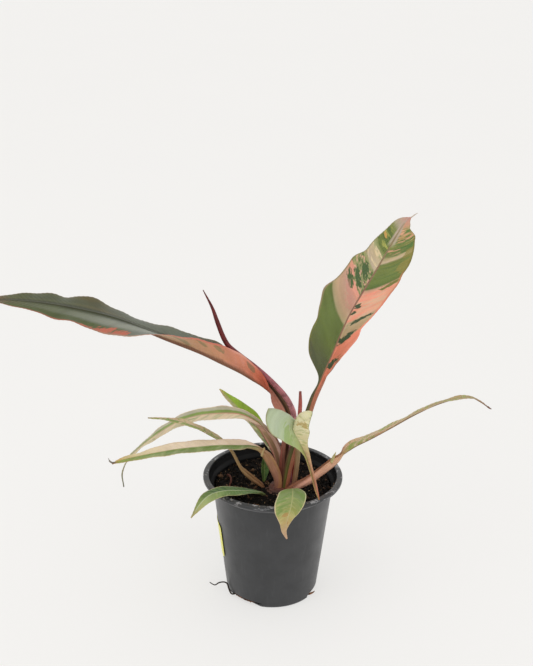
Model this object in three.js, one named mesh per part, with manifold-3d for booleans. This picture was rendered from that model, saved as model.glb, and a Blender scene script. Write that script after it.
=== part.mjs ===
// Potted caramel marble philodendron: a young aroid house plant in a round nursery pot.
// Units are millimetres and +Z is up. The origin is the centre of the pot's floor, where it stands.
// +X is to the right and -Y to the front of the plant.
import * as THREE from "three";
import { mergeVertices } from "three/addons/utils/BufferGeometryUtils.js";
import Module from "manifold-3d";

const wasm = await Module();
wasm.setup();

// Pot
const POT_HEIGHT = 110.5;
const RIM_RADIUS = 60;
const LIP_INNER_RADIUS = 54.8;
const LIP_BAND = 3.2;
const LIP_ROUND = 1.1;
const COLLAR_DROP = 7;
const SHOULDER_DROP = 9;
const BODY_TOP_RADIUS = 51.6;
const BASE_RADIUS = 39.4;
const CORNER = 2.4;
const WALL = 1.2;
const POT_SIDES = 48;

// Drainage notches between the three feet
const NOTCH_BEARINGS = [111, 231, 351];
const NOTCH_WIDTH = 39;
const NOTCH_HEIGHT = 5;
const NOTCH_DEPTH = 5;
const NOTCH_STEPS = 12;
const NOTCH_SQUARE = 0.45;

// Soil
const SOIL_LEVEL = 100;
const SOIL_BUMP = 1.3;
const GAP = 0.35;

// Crown, the short stem that the petioles stand on
const CROWN = { x: 8, y: -7, z: 97, along: 14, across: 13, up: 7.5 };

// Yellow sticker on the pot's side
const STICKER = { from: 160, to: 203, low: 36, high: 69, thick: 0.5, steps: 8 };

// Plant
const BLADE_THICK = 0.8;
const ACROSS = [0, 0.15, 0.55, 1];
const STATIONS_PER_STEP = 2;
const STATIONS_WITH_BUMPS = 3;
const LEAST_HALF_WIDTH = 0.5;
const RIB_TOP_SHARE = 0.25;
const STEM_SIDES = 8;

// Each leaf is one piece from its foot in the soil to its tip. The lists hold one value for each path
// point: left and right are half-widths, fold is how far each half rises in degrees, curl bends it further
// in towards the margin, roll turns the whole section, and rib is the thickness at the midrib or petiole.
// Each bump is a side (1 left, -1 right), a place along the path, how much wider the blade is there, how
// far its margin is lifted, and over how much of the path.
const leaves = [
  {
    name: "leaf_arching_large",
    colour: 0x6f7a5c,
    bearing: 180,
    path: [
      [7, -2, 94], [8.5, -2.5, 108], [9.5, -3, 126], [11, -4, 144], [12.5, -5, 160], [10.5, -6, 173.5],
      [3.5, -6, 186], [-6, -6, 197], [-16.5, -6, 204.5], [-27, -6, 211], [-44, -6, 219.5],
      [-61, -6, 227.5], [-90, -6, 239], [-126, -6, 254], [-158, -6, 262.5], [-190, -6, 268],
      [-223, -6, 270], [-233, -6, 266],
    ],
    left: [3.4, 3.6, 4, 5, 7, 8.4, 8.2, 8.5, 10, 13, 16, 20, 23, 23.5, 22, 16, 6.5, 0.6],
    right: [3, 2.8, 2.6, 2.8, 3, 3.4, 4, 5.5, 7.5, 9.5, 12, 16.5, 20.5, 21, 21, 17, 7.5, 0.6],
    fold: [20, 18, 15, 12, 10, 10, 14, 45, 66, 72, 60, 34, 17, -1, -4, 0, 2, 0],
    curl: [0, 0, 0, 0, 0, 0, 5, 22, 24, 22, 18, 5, 0, 0, 0, 0, 0, 0],
    roll: [-20, -30, -45, -60, -72, -74, -60, -25, -4, 2, 8, 15, 12, 0, -8, -6, -6, -6],
    rib: [6, 5.9, 5.8, 5.8, 5.8, 5.6, 5.4, 5.2, 4.8, 4.4, 4.1, 3.8, 3.4, 2.7, 2.1, 1.6, 1.1, 0.9],
    bumps: [
      [1, 13, 0, -4.5, 0.55], [1, 14.1, 0, 1.5, 0.3], [1, 14.7, 0.5, -1.2, 0.3],
      [-1, 12.6, -1, -2.5, 0.35], [-1, 13.85, 1, 3.2, 0.32], [-1, 14.45, -1, -1.6, 0.2],
      [-1, 14.95, 0.5, 0.6, 0.25],
    ],
  },
  {
    name: "leaf_upright",
    colour: 0xb98a6a,
    bearing: 45,
    path: [
      [9.5, -11.5, 94], [11.3, -12, 108], [13.6, -11.5, 123], [17, -10, 137.5], [21.5, -6.5, 149],
      [27.5, 0.5, 161], [34, 12, 177], [41, 20, 191], [48, 26, 206], [56, 32, 225], [64, 41, 241],
      [75, 51, 258], [86, 60, 274], [96, 69, 289], [105, 78, 302], [112, 85, 311], [117, 88, 315],
    ],
    left: [2.6, 3.2, 4, 4.3, 3.9, 3.5, 3.1, 3.4, 20.5, 25.5, 27.5, 27, 24.5, 18.5, 13.5, 9, 0.6],
    right: [2.6, 3, 3.4, 3.6, 3.6, 3.3, 2.9, 3, 13, 22.5, 24.5, 24.5, 26.2, 25.4, 18.6, 6.5, 0.6],
    fold: [20, 25, 28, 28, 25, 20, 15, 18, 30, 28, 22, 11, 7, 3, 2, 2, 0],
    curl: [0],
    roll: [20, 30, 38, 38, 32, 20, 8, 4, 5, 9, 11, 14, 11, 9, 6, 3, 0],
    rib: [4.8, 4.8, 4.8, 4.8, 4.8, 4.8, 4.8, 4.6, 4.2, 3.6, 3.2, 2.8, 2.4, 2, 1.6, 1.2, 0.9],
    bumps: [
      [1, 9.4, -1.6, -1, 0.35], [1, 10.5, 2.6, 2, 0.4], [1, 11.4, 0, -1.5, 0.35],
      [1, 12.2, 0.6, 1.5, 0.3], [1, 12.7, -1.2, 0, 0.25], [-1, 9.15, 0.8, 0, 0.15],
      [-1, 9.55, -2, -1, 0.18], [-1, 11.6, 0.6, 1, 0.3], [-1, 12.35, -1.8, -1.5, 0.25],
      [-1, 14.2, 1.6, 1.5, 0.16], [-1, 14.65, -2.4, -1, 0.2],
    ],
  },
  {
    name: "leaf_folded_front",
    colour: 0xb9c08e,
    bearing: 296,
    path: [
      [16.5, -12.5, 94], [18, -13, 108], [19.5, -14, 123], [20.5, -14, 138], [20, -17, 156],
      [19.5, -21.5, 170.5], [17.5, -30, 173.5], [15.5, -39, 172], [18.8, -46, 168], [22, -50, 163.5],
      [26, -54, 156], [30, -58, 144.5], [33.3, -60.5, 133], [37.4, -62, 120.8],
    ],
    left: [1.9, 1.9, 1.9, 1.9, 2.1, 4, 17.5, 19, 13.5, 7, 4, 3.1, 2.3, 0.6],
    right: [1.9, 1.9, 1.9, 1.9, 2.1, 7, 25, 26.5, 19.5, 11, 4.8, 3.3, 2.3, 0.6],
    fold: [10, 10, 10, 10, 10, 20, 34, 32, 33, 44, 55, 58, 50, 30],
    curl: [0, 0, 0, 0, 0, -25, -46, -36, -14, 0, 0, 0, 0, 0],
    roll: [0, 0, 0, 0, 0, 0, 8, 14, 12, 6, 0, 0, 0, 0],
    rib: [4, 4, 4, 4, 4, 3.8, 3.2, 2.8, 2.4, 2.1, 1.8, 1.5, 1.2, 0.9],
    bumps: [
      [1, 6.1, 4.2, -1.5, 0.33], [1, 6.65, -1.5, -2, 0.25], [1, 7.25, 1, 1.5, 0.25],
      [1, 7.85, -1, -1.2, 0.3], [1, 8.4, 0.6, 0.8, 0.35], [-1, 6.5, 0, 1.5, 0.35],
      [-1, 7.3, 0, -1.2, 0.3], [-1, 8, 0.5, 1, 0.3],
    ],
  },
  {
    name: "leaf_reaching_right",
    colour: 0xb29872,
    bearing: 5,
    path: [
      [9.5, -16.5, 94], [11.5, -18.3, 102.8], [20, -19.2, 109.4], [30, -17.2, 114], [40, -13, 119.6],
      [48.5, -9.5, 125], [54, -6.8, 128.7], [58, -5, 133], [61, -4.3, 135.4], [64.5, -3.5, 137.6],
      [71, -2.3, 141.2], [82.2, -1, 146.5], [99, 1, 155.7], [116, 2.5, 165.7], [133.8, 4, 174.8],
      [150, 5.5, 180], [166, 7, 181.7], [175, 8, 177.3], [184, 9, 170.4],
    ],
    left: [2.8, 3, 3.4, 3.6, 3.6, 3.8, 3.4, 1.6, 4, 5.5, 7, 8.5, 7.5, 6, 6, 6.5, 6, 4.5, 0.6],
    right: [2.8, 3, 3.4, 3.6, 3.6, 3.8, 3.4, 1.6, 4.2, 6, 8.5, 10, 9, 7.5, 7, 7.5, 6.5, 4.5, 0.6],
    fold: [15, 25, 45, 60, 65, 65, 50, 20, 40, 40, 30, 16, 10, 8, 6, 4, 4, 4, 4],
    curl: [0, 0, 8, 15, 15, 15, 8, 0, 8, 10, 6, 0, 0, 0, 0, 0, 0, 0, 0],
    roll: [0, 0, 0, 0, 0, 0, 0, 0, -8, -14, -20, -20, -20, -20, -18, -16, -12, -8, -4],
    rib: [5, 5, 4.8, 4.6, 4.4, 4.2, 4, 3.2, 3, 2.9, 2.7, 2.5, 2.3, 2, 1.8, 1.5, 1.2, 1, 0.9],
  },
  {
    name: "leaf_low_left",
    colour: 0xb5b37c,
    bearing: 192,
    path: [
      [2.5, -10, 94], [5.4, -10, 103], [4.5, -10, 112], [0.8, -10.2, 121.5], [-4.5, -11, 131.8],
      [-10.8, -12, 140.2], [-19, -12.5, 143], [-28, -14, 144], [-45, -18, 146], [-61, -21, 146],
      [-78, -25, 146], [-94, -28, 144.5], [-110, -32, 143], [-127, -35, 140], [-133, -37, 138],
    ],
    left: [2.9, 3, 4, 4.8, 4.8, 2.6, 5.5, 8, 9, 9, 9, 8, 6, 3, 0.6],
    right: [2.9, 3, 4, 4.8, 4.8, 2.6, 5.5, 8, 9, 9, 9, 8, 6, 3, 0.6],
    fold: [15, 25, 42, 52, 50, 20, 16, 12, 8, 8, 10, 8, 2, 0, 0],
    curl: [0],
    roll: [0, 0, 0, 0, 0, 0, 0, -4, -4, -5, -7, -4, -3, -3, 0],
    rib: [5.4, 5.4, 5, 4.8, 4.4, 3.6, 3.2, 2.8, 2.4, 2.1, 1.8, 1.6, 1.3, 1.1, 0.9],
  },
  {
    name: "leaf_arching_left",
    colour: 0xc4a98a,
    bearing: 170,
    path: [
      [8, 5, 94], [8.6, 5.5, 106], [6.5, 5.5, 118], [2, 5, 131], [-4, 4.3, 143], [-11, 2.5, 154.5],
      [-20, 0.5, 162.3], [-30, 0, 166.5], [-45, 2, 166], [-63, 6, 162], [-80, 9, 155], [-97, 12, 143],
      [-115, 15, 127], [-127, 17, 113], [-132, 17, 100], [-131, 16, 87],
    ],
    left: [2.7, 3, 4.6, 6.5, 7, 4.5, 6.5, 8, 10, 10, 10, 8, 5, 3, 1.6, 0.6],
    right: [2.7, 3, 4, 5.5, 6, 4, 6, 8, 10, 10, 10, 8, 5, 3, 1.6, 0.6],
    fold: [15, 20, 42, 55, 58, 38, 16, 10, 8, 6, 4, 4, 4, 4, 0, 0],
    curl: [0],
    roll: [0, 0, 0, 0, 0, 0, -3, -8, -9, -9, -10, -12, -10, -8, 0, 0],
    rib: [5, 5, 4.8, 4.6, 4.4, 3.8, 3.2, 2.8, 2.4, 2, 1.8, 1.6, 1.4, 1.2, 1, 0.9],
  },
  {
    name: "leaf_back_green",
    colour: 0x8aa63c,
    bearing: 145,
    path: [
      [13.5, 9, 94], [11.5, 11, 106], [5, 14, 119], [-3, 15.5, 130], [-12, 18, 141], [-20, 23, 150],
      [-29, 27, 158], [-38, 31, 166], [-47, 35, 174],
    ],
    left: [1.8, 2, 4, 7, 8.5, 9, 8, 5, 0.6],
    right: [1.8, 2, 3, 5, 8, 9, 8, 5, 0.6],
    fold: [15, 15, 20, 25, 25, 25, 20, 15, 10],
    curl: [0],
    roll: [0],
    rib: [3.4, 3.4, 3, 2.6, 2.2, 1.8, 1.5, 1.2, 0.9],
  },
  {
    name: "leaf_thin_left",
    colour: 0x8f9c5e,
    bearing: 184,
    path: [
      [-4, -4, 94], [-9, -5, 102], [-17, -5, 108], [-23.5, -5, 114], [-28, -5, 120.5], [-32.5, -4.5, 130],
      [-37, -4, 137], [-44, -3.8, 143.5], [-53, -6.5, 150.5], [-63, -10, 158], [-74, -11, 163],
      [-87, -12, 167], [-97, -12, 168], [-105, -12, 168.5],
    ],
    left: [1.8, 2, 2.8, 2.6, 1.5, 1.5, 1.5, 3, 4.5, 5, 5, 4, 2, 0.6],
    right: [1.8, 2, 2.8, 2.6, 1.5, 1.5, 1.5, 3, 4.5, 5, 5, 4, 2, 0.6],
    fold: [20, 30, 45, 45, 20, 20, 20, 20, 20, 15, 10, 5, 0, 0],
    curl: [0],
    roll: [0],
    rib: [3.4, 3.4, 3, 2.8, 2.6, 2.4, 2.2, 2, 1.8, 1.6, 1.4, 1.2, 1, 0.9],
  },
  {
    name: "leaf_small_left",
    colour: 0x7b9455,
    bearing: 209,
    path: [
      [-4, -17, 95], [-8, -20, 102], [-16.5, -25, 106.5], [-25.5, -30.5, 110], [-37, -35.5, 113],
      [-47, -41, 114.3], [-54.5, -45.5, 112.5], [-61, -49.5, 106.5], [-67.5, -53, 97],
    ],
    left: [1.4, 1.5, 3.8, 5.8, 6.8, 7.2, 6.8, 4, 0.6],
    right: [1.4, 1.5, 3.8, 5.8, 6.8, 7.2, 6.8, 4, 0.6],
    fold: [20, 15, 8, 4, 0, -3, -5, -4, 0],
    curl: [0],
    roll: [0, 0, -5, -7, -7, -7, -9, -6, 0],
    rib: [2.6, 2.6, 2.2, 1.9, 1.7, 1.5, 1.3, 1.1, 0.9],
  },
  {
    name: "leaf_small_front",
    colour: 0xa3a067,
    bearing: 275,
    path: [
      [12, -24, 95], [13, -27, 103], [14.5, -31, 110.5], [16, -37, 116], [16.3, -46, 117.3],
      [15.7, -55, 115.3], [14.3, -62, 111.5], [12.5, -66.5, 107.3], [11, -69, 102], [9.8, -70, 96],
      [11.7, -70, 88.5],
    ],
    left: [1.3, 1.3, 1.3, 2.5, 10.5, 11, 8.5, 5, 2.6, 1.6, 0.6],
    right: [1.3, 1.3, 1.3, 2.5, 10.5, 12.5, 13.5, 12, 6.5, 2.8, 0.6],
    fold: [10, 10, 10, 10, 8, 8, 10, 14, 20, 20, 10],
    curl: [0],
    roll: [0],
    rib: [2.4, 2.4, 2.4, 2.2, 1.9, 1.7, 1.5, 1.3, 1.2, 1, 0.9],
  },
  {
    name: "leaf_tiny_back",
    colour: 0x5f8a3e,
    bearing: 115,
    path: [[-7.5, 5.5, 95], [-7.5, 6, 101], [-7.5, 7, 110], [-7, 9, 119], [-5.5, 12, 126]],
    left: [1.3, 1.6, 4, 3.6, 0.6],
    right: [1.3, 1.6, 4, 3.6, 0.6],
    fold: [20, 25, 30, 30, 20],
    curl: [0],
    roll: [0],
    rib: [2.4, 2.2, 1.8, 1.4, 0.9],
  },
];

// Round pieces: a path with a radius at each of its points.
const stems = [
  {
    name: "new_leaf_spear",
    colour: 0x7a4450,
    path: [
      [14, 0, 94], [14.3, -0.5, 108], [14.6, -2, 126], [15.5, -4.6, 144], [17.2, -8.8, 160.5],
      [16.6, -10, 173], [13, -10, 182.5], [8.3, -9.5, 189.8], [2, -9, 197], [-6, -7, 204.5],
      [-17, -6, 214], [-28, -6, 223], [-36, -6, 230], [-39.7, -6.5, 235], [-43, -7, 242.5],
      [-47, -8, 254.5], [-51, -9, 267], [-58, -10, 282],
    ],
    radius: [2.1, 2.1, 1.9, 1.7, 1.8, 2.3, 2.3, 2.3, 2.3, 2.3, 2.3, 2.2, 2.1, 2.1, 2, 1.8, 1.2, 0.35],
  },
  {
    name: "red_cataphyll",
    colour: 0x9a3f3c,
    path: [
      [17.5, 4, 94], [18, 4, 112], [19.5, 4.5, 130], [21, 6, 145], [22, 7, 160], [22.6, 8, 173],
      [22.4, 9, 184.5],
    ],
    radius: [1.7, 1.8, 1.8, 1.8, 1.8, 1.7, 1.1],
  },
  {
    name: "root_wisp",
    colour: 0x2a2420,
    path: [
      [-29, -19.6, 3], [-32, -21.6, 2.6], [-35.2, -22, 3], [-37.4, -18.4, 5.5], [-38.9, -15.4, 8.6],
      [-41.6, -14.9, 10], [-46, -15, 9.5], [-50, -15, 7], [-54.5, -14, 9],
    ],
    radius: [0.7, 0.7, 0.7, 0.7, 0.7, 0.6, 0.6, 0.5, 0.4],
  },
  {
    name: "soil_twig",
    colour: 0x5a3328,
    path: [
      [-40, 16, 98.2], [-39.5, 14, 101.5], [-37, 8, 103], [-36, 1, 102.5], [-37, -3, 101],
      [-38, -5, 98.2],
    ],
    radius: [0.6, 0.7, 0.8, 0.8, 0.7, 0.6],
  },
];

function radians(degrees) {
  return THREE.MathUtils.degToRad(degrees);
}

// A value of a list at a place counted in path points, on a smooth curve through the list's values.
function along(values, place, pathLength) {
  if (values.length === 1) return values[0];
  const spot = Math.min(Math.max((place * (values.length - 1)) / (pathLength - 1), 0), values.length - 1);
  const i = Math.min(Math.floor(spot), values.length - 2);
  const t = spot - i;
  const p1 = values[i];
  const p2 = values[i + 1];
  const p0 = i > 0 ? values[i - 1] : 2 * p1 - p2;
  const p3 = i + 2 < values.length ? values[i + 2] : 2 * p2 - p1;
  const bend = (2 * p0 - 5 * p1 + 4 * p2 - p3) * t * t + (-p0 + 3 * p1 - 3 * p2 + p3) * t * t * t;
  return 0.5 * (2 * p1 + (-p0 + p2) * t + bend);
}

function pointAlong(path, place) {
  const at = (axis) => along(path.map((point) => point[axis]), place, path.length);
  return new THREE.Vector3(at(0), at(1), at(2));
}

function directionAlong(path, place) {
  const step = 0.05;
  return pointAlong(path, place + step).sub(pointAlong(path, place - step)).normalize();
}

// A closed solid through equal rings of points, with a flat fan on each end.
function loft(rings) {
  const sides = rings[0].length;
  const positions = rings.flat().flatMap((point) => [point.x, point.y, point.z]);
  const faces = [];
  for (let ring = 0; ring + 1 < rings.length; ring++) {
    for (let side = 0; side < sides; side++) {
      const a = ring * sides + side;
      const b = ring * sides + ((side + 1) % sides);
      faces.push(a, b, b + sides, a, b + sides, a + sides);
    }
  }
  const last = (rings.length - 1) * sides;
  for (let side = 1; side + 1 < sides; side++) {
    faces.push(0, side + 1, side);
    faces.push(last, last + side, last + side + 1);
  }
  const geometry = new THREE.BufferGeometry();
  geometry.setAttribute("position", new THREE.Float32BufferAttribute(positions, 3));
  geometry.setIndex(faces);
  return geometry;
}

// What the bumps of one side add at a place: kind 2 is extra width, kind 3 is the margin's lift.
function bumped(leaf, side, place, kind) {
  const own = (leaf.bumps ?? []).filter((bump) => bump[0] === side);
  return own.reduce((sum, bump) => sum + bump[kind] * Math.exp(-(((place - bump[1]) / bump[4]) ** 2)), 0);
}

// One half of a leaf's section, from the midrib out: points with the way that the blade faces there.
function halfSection(centre, sideways, up, side, width, fold, curl, lift) {
  const half = [];
  const point = centre.clone();
  ACROSS.forEach((share, k) => {
    if (k > 0) {
      const middle = (share + ACROSS[k - 1]) / 2;
      const angle = radians(fold + curl * (2 * middle - 1));
      const step = width * (share - ACROSS[k - 1]);
      point.addScaledVector(sideways, side * Math.cos(angle) * step);
      point.addScaledVector(up, Math.sin(angle) * step);
    }
    const tilt = radians(fold + curl * (2 * share - 1)) * Math.min(k / 2, 1);
    const facing = up.clone().multiplyScalar(Math.cos(tilt));
    facing.addScaledVector(sideways, -side * Math.sin(tilt));
    const lifted = point.clone().addScaledVector(up, lift * share * share);
    half.push({ point: lifted, facing, reach: share * width });
  });
  return half;
}

// Thickness falls from the rib's to the blade's over half the rib's own thickness.
function thicknessAt(reach, width, rib) {
  const ribReach = Math.min(width, rib / 2);
  const share = Math.min(reach / ribReach, 1);
  return BLADE_THICK + (rib - BLADE_THICK) * Math.sqrt(1 - share * share);
}

// A ring of points round a leaf's section at one place of its path. Extra thickens it on every side.
function leafRing(leaf, place, extra) {
  const count = leaf.path.length;
  const centre = pointAlong(leaf.path, place);
  const forward = directionAlong(leaf.path, place);
  const bearing = radians(leaf.bearing);
  const sideways = new THREE.Vector3(-Math.sin(bearing), Math.cos(bearing), 0);
  sideways.addScaledVector(forward, -sideways.dot(forward)).normalize();
  const up = new THREE.Vector3().crossVectors(forward, sideways);
  const roll = radians(along(leaf.roll, place, count));
  sideways.applyAxisAngle(forward, roll);
  up.applyAxisAngle(forward, roll);
  const fold = along(leaf.fold, place, count);
  const curl = along(leaf.curl, place, count);
  const rib = along(leaf.rib, place, count);
  const halfOf = (side, list) => {
    const wide = along(list, place, count) + bumped(leaf, side, place, 2);
    const width = Math.max(wide, LEAST_HALF_WIDTH) + extra;
    const lift = bumped(leaf, side, place, 3);
    const half = halfSection(centre, sideways, up, side, width, fold, curl, lift);
    return half.map((entry) => ({ ...entry, thick: thicknessAt(entry.reach, width, rib) }));
  };
  const left = halfOf(1, leaf.left);
  const right = halfOf(-1, leaf.right);
  const section = [...left.slice(1).reverse(), ...right];
  const topShare = RIB_TOP_SHARE * Math.cos(radians(fold)) ** 2;
  const topOf = ({ point, facing, thick }) => {
    const rise = BLADE_THICK / 2 + topShare * (thick - BLADE_THICK) + extra;
    return point.clone().addScaledVector(facing, rise);
  };
  const bottomOf = ({ point, facing, thick }) => {
    const drop = BLADE_THICK / 2 + (1 - topShare) * (thick - BLADE_THICK) + extra;
    return point.clone().addScaledVector(facing, -drop);
  };
  return [...section.map(topOf), ...section.map(bottomOf).reverse()];
}

function leafGeometry(leaf, extra = 0, lastPlace = leaf.path.length - 1) {
  const rings = [];
  const perStep = leaf.bumps ? STATIONS_WITH_BUMPS : STATIONS_PER_STEP;
  for (let i = 0; i <= lastPlace * perStep; i++) rings.push(leafRing(leaf, i / perStep, extra));
  return loft(rings);
}

function stemGeometry(stem, extra = 0, lastPlace = stem.path.length - 1) {
  const rings = [];
  for (let i = 0; i <= lastPlace * STATIONS_PER_STEP; i++) {
    const place = i / STATIONS_PER_STEP;
    const forward = directionAlong(stem.path, place);
    const level = Math.abs(forward.z) < 0.9 ? new THREE.Vector3(0, 0, 1) : new THREE.Vector3(0, 1, 0);
    const sideways = new THREE.Vector3().crossVectors(level, forward).normalize();
    const up = new THREE.Vector3().crossVectors(forward, sideways);
    const radius = along(stem.radius, place, stem.path.length) + extra;
    const ring = [];
    for (let side = 0; side < STEM_SIDES; side++) {
      const angle = (2 * Math.PI * side) / STEM_SIDES;
      const point = pointAlong(stem.path, place).addScaledVector(sideways, radius * Math.cos(angle));
      ring.push(point.addScaledVector(up, radius * Math.sin(angle)));
    }
    rings.push(ring);
  }
  return loft(rings);
}

function solidFrom(geometry) {
  const bare = new THREE.BufferGeometry();
  const source = geometry.index ? geometry.toNonIndexed() : geometry;
  bare.setAttribute("position", source.getAttribute("position"));
  const merged = mergeVertices(bare, 1e-3);
  const vertProperties = merged.attributes.position.array;
  const triVerts = new Uint32Array(merged.index.array);
  return new wasm.Manifold(new wasm.Mesh({ numProp: 3, vertProperties, triVerts }));
}

function geometryFrom(solid) {
  const mesh = solid.getMesh();
  const geometry = new THREE.BufferGeometry();
  geometry.setAttribute("position", new THREE.BufferAttribute(mesh.vertProperties, 3));
  geometry.setIndex(new THREE.BufferAttribute(mesh.triVerts, 1));
  return geometry;
}

// The largest body of a cut solid. The loose scraps between neighbouring holes are dropped.
function largestBody(solid) {
  const bodies = solid.decompose();
  return bodies.reduce((best, body) => (body.volume() > best.volume() ? body : best));
}

// Radius of the pot's outer wall at a height below the shoulder.
function bodyRadius(height) {
  const shoulder = POT_HEIGHT - SHOULDER_DROP;
  return BASE_RADIUS + ((BODY_TOP_RADIUS - BASE_RADIUS) * height) / shoulder;
}

// Around the pot's section: out along the floor, up the outside, over the lip and down the inside.
function potProfile() {
  const shoulder = POT_HEIGHT - SHOULDER_DROP;
  const collar = POT_HEIGHT - COLLAR_DROP;
  const underLip = POT_HEIGHT - LIP_BAND;
  const outside = [
    [0, 0], [BASE_RADIUS - CORNER, 0], [BASE_RADIUS - 0.7, 0.7], [bodyRadius(CORNER), CORNER],
    [bodyRadius(shoulder / 2), shoulder / 2], [BODY_TOP_RADIUS, shoulder], [BODY_TOP_RADIUS + 2.6, collar],
    [BODY_TOP_RADIUS + 3.6, underLip - 0.4], [RIM_RADIUS - 0.8, underLip],
    [RIM_RADIUS, underLip + LIP_ROUND],
  ];
  const inside = [
    [RIM_RADIUS - 0.2, POT_HEIGHT - LIP_ROUND], [RIM_RADIUS - LIP_ROUND, POT_HEIGHT],
    [LIP_INNER_RADIUS + LIP_ROUND, POT_HEIGHT], [LIP_INNER_RADIUS, POT_HEIGHT - LIP_ROUND],
    [BODY_TOP_RADIUS + 1.4, collar], [BODY_TOP_RADIUS - WALL, shoulder - 0.6],
    [bodyRadius(CORNER) - WALL, CORNER], [BASE_RADIUS - CORNER - WALL, WALL], [0, WALL],
  ];
  return [...outside, ...inside, [0, 0]].map(([radius, height]) => new THREE.Vector2(radius, height));
}

// An arched cutter that runs outwards through the wall and the edge of the floor.
function notchCutter(bearing) {
  const arch = new THREE.Shape();
  arch.moveTo(-NOTCH_WIDTH / 2, -1);
  arch.lineTo(NOTCH_WIDTH / 2, -1);
  for (let i = 0; i <= NOTCH_STEPS; i++) {
    const angle = (Math.PI * i) / NOTCH_STEPS;
    const across = Math.sign(Math.cos(angle)) * Math.abs(Math.cos(angle)) ** NOTCH_SQUARE;
    arch.lineTo((NOTCH_WIDTH / 2) * across, NOTCH_HEIGHT * Math.abs(Math.sin(angle)) ** NOTCH_SQUARE);
  }
  const cutter = new THREE.ExtrudeGeometry(arch, { depth: 3 * NOTCH_DEPTH, bevelEnabled: false });
  cutter.rotateX(Math.PI / 2);
  cutter.rotateZ(Math.PI);
  cutter.translate(0, BASE_RADIUS - NOTCH_DEPTH, 0);
  cutter.rotateZ(radians(bearing - 90));
  return solidFrom(cutter);
}

function potGeometry() {
  const turned = new THREE.LatheGeometry(potProfile(), POT_SIDES);
  turned.rotateX(Math.PI / 2);
  let pot = solidFrom(turned);
  for (const bearing of NOTCH_BEARINGS) pot = pot.subtract(notchCutter(bearing));
  return geometryFrom(pot);
}

// Low uneven lumps, from a few crossed waves.
function soilRise(x, y) {
  const broad = Math.sin(x / 9 + 1.3) * Math.cos(y / 7.5);
  const fine = Math.sin(x / 4.1 - y / 5.3) * Math.cos(y / 3.7 + x / 6.1);
  return SOIL_BUMP * (0.6 * broad + 0.4 * fine);
}

// The root ball fills the pot. Its top is uneven, and it keeps clear of the wall and the floor.
function soilGeometry(holes) {
  const sides = 36;
  const bottom = WALL + GAP;
  const shares = [0.12, 0.3, 0.48, 0.66, 0.84, 1];
  const ringAt = (radius, heightOf) => {
    const ring = [];
    for (let side = 0; side < sides; side++) {
      const angle = (2 * Math.PI * side) / sides;
      const x = radius * Math.cos(angle);
      const y = radius * Math.sin(angle);
      ring.push(new THREE.Vector3(x, y, heightOf(x, y)));
    }
    return ring;
  };
  const inset = WALL + 1.3 * GAP;
  const topRadius = bodyRadius(SOIL_LEVEL - 2) - inset;
  const rings = [
    ringAt(bodyRadius(0) - CORNER - inset, () => bottom),
    ringAt(bodyRadius(CORNER + 1) - inset, () => CORNER + 1.5),
    ringAt(topRadius, () => SOIL_LEVEL - 2),
  ];
  const surface = (x, y) => SOIL_LEVEL + soilRise(x, y);
  for (const share of [...shares].reverse()) rings.push(ringAt((topRadius - 0.6) * share, surface));
  let soil = solidFrom(loft(rings));
  for (const hole of holes) soil = soil.subtract(hole);
  return geometryFrom(largestBody(soil));
}

function crownSolid(extra) {
  const ball = new THREE.SphereGeometry(1, 20, 12);
  ball.rotateX(Math.PI / 2);
  ball.scale(CROWN.along + extra, CROWN.across + extra, CROWN.up + extra);
  ball.translate(CROWN.x, CROWN.y, CROWN.z);
  return solidFrom(ball);
}

// Thin curved plate that follows the pot's slope.
function stickerGeometry() {
  const rings = [];
  for (let i = 0; i <= STICKER.steps; i++) {
    const bearing = radians(STICKER.from + ((STICKER.to - STICKER.from) * i) / STICKER.steps);
    const corner = (height, out) => {
      const radius = bodyRadius(height) + out;
      return new THREE.Vector3(radius * Math.cos(bearing), radius * Math.sin(bearing), height);
    };
    const outer = GAP + STICKER.thick;
    rings.push([
      corner(STICKER.low, GAP), corner(STICKER.high, GAP),
      corner(STICKER.high, outer), corner(STICKER.low, outer),
    ]);
  }
  return loft(rings);
}

function partMesh(name, geometry, colour, roughness) {
  const material = new THREE.MeshStandardMaterial({ color: colour, roughness, metalness: 0 });
  geometry.computeVertexNormals();
  const mesh = new THREE.Mesh(geometry, material);
  mesh.name = name;
  return mesh;
}

// The feet of leaves and stems stand in plain holes, a gap wider than they are.
const FOOT_STEPS = 2;
const feet = [
  ...leaves.map((leaf) => ({ name: leaf.name, solid: solidFrom(leafGeometry(leaf, GAP, FOOT_STEPS)) })),
  ...stems.map((stem) => ({ name: stem.name, solid: solidFrom(stemGeometry(stem, GAP)) })),
];

const plant = new THREE.Group();
plant.name = "potted_philodendron";
plant.add(partMesh("pot", potGeometry(), 0x47494b, 0.5));

let crown = crownSolid(0);
for (const foot of feet) crown = crown.subtract(foot.solid);
plant.add(partMesh("crown", geometryFrom(largestBody(crown)), 0x5d3a2a, 0.7));

const holes = [crownSolid(GAP), ...feet.map((foot) => foot.solid)];
plant.add(partMesh("soil", soilGeometry(holes), 0x1d1916, 0.95));
plant.add(partMesh("sticker", stickerGeometry(), 0xe6e03c, 0.6));
for (const leaf of leaves) plant.add(partMesh(leaf.name, leafGeometry(leaf), leaf.colour, 0.5));
for (const stem of stems) plant.add(partMesh(stem.name, stemGeometry(stem), stem.colour, 0.6));

export default plant;
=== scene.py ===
"""Looks of a potted caramel marble philodendron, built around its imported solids.

Objects are in metres with +Z up. Lists of leaf and pot sizes are in millimetres, as in the part's source,
and MM turns them into metres.
"""

import math

import bmesh
import bpy
import numpy as np
from mathutils import Matrix, Vector, noise


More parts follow.
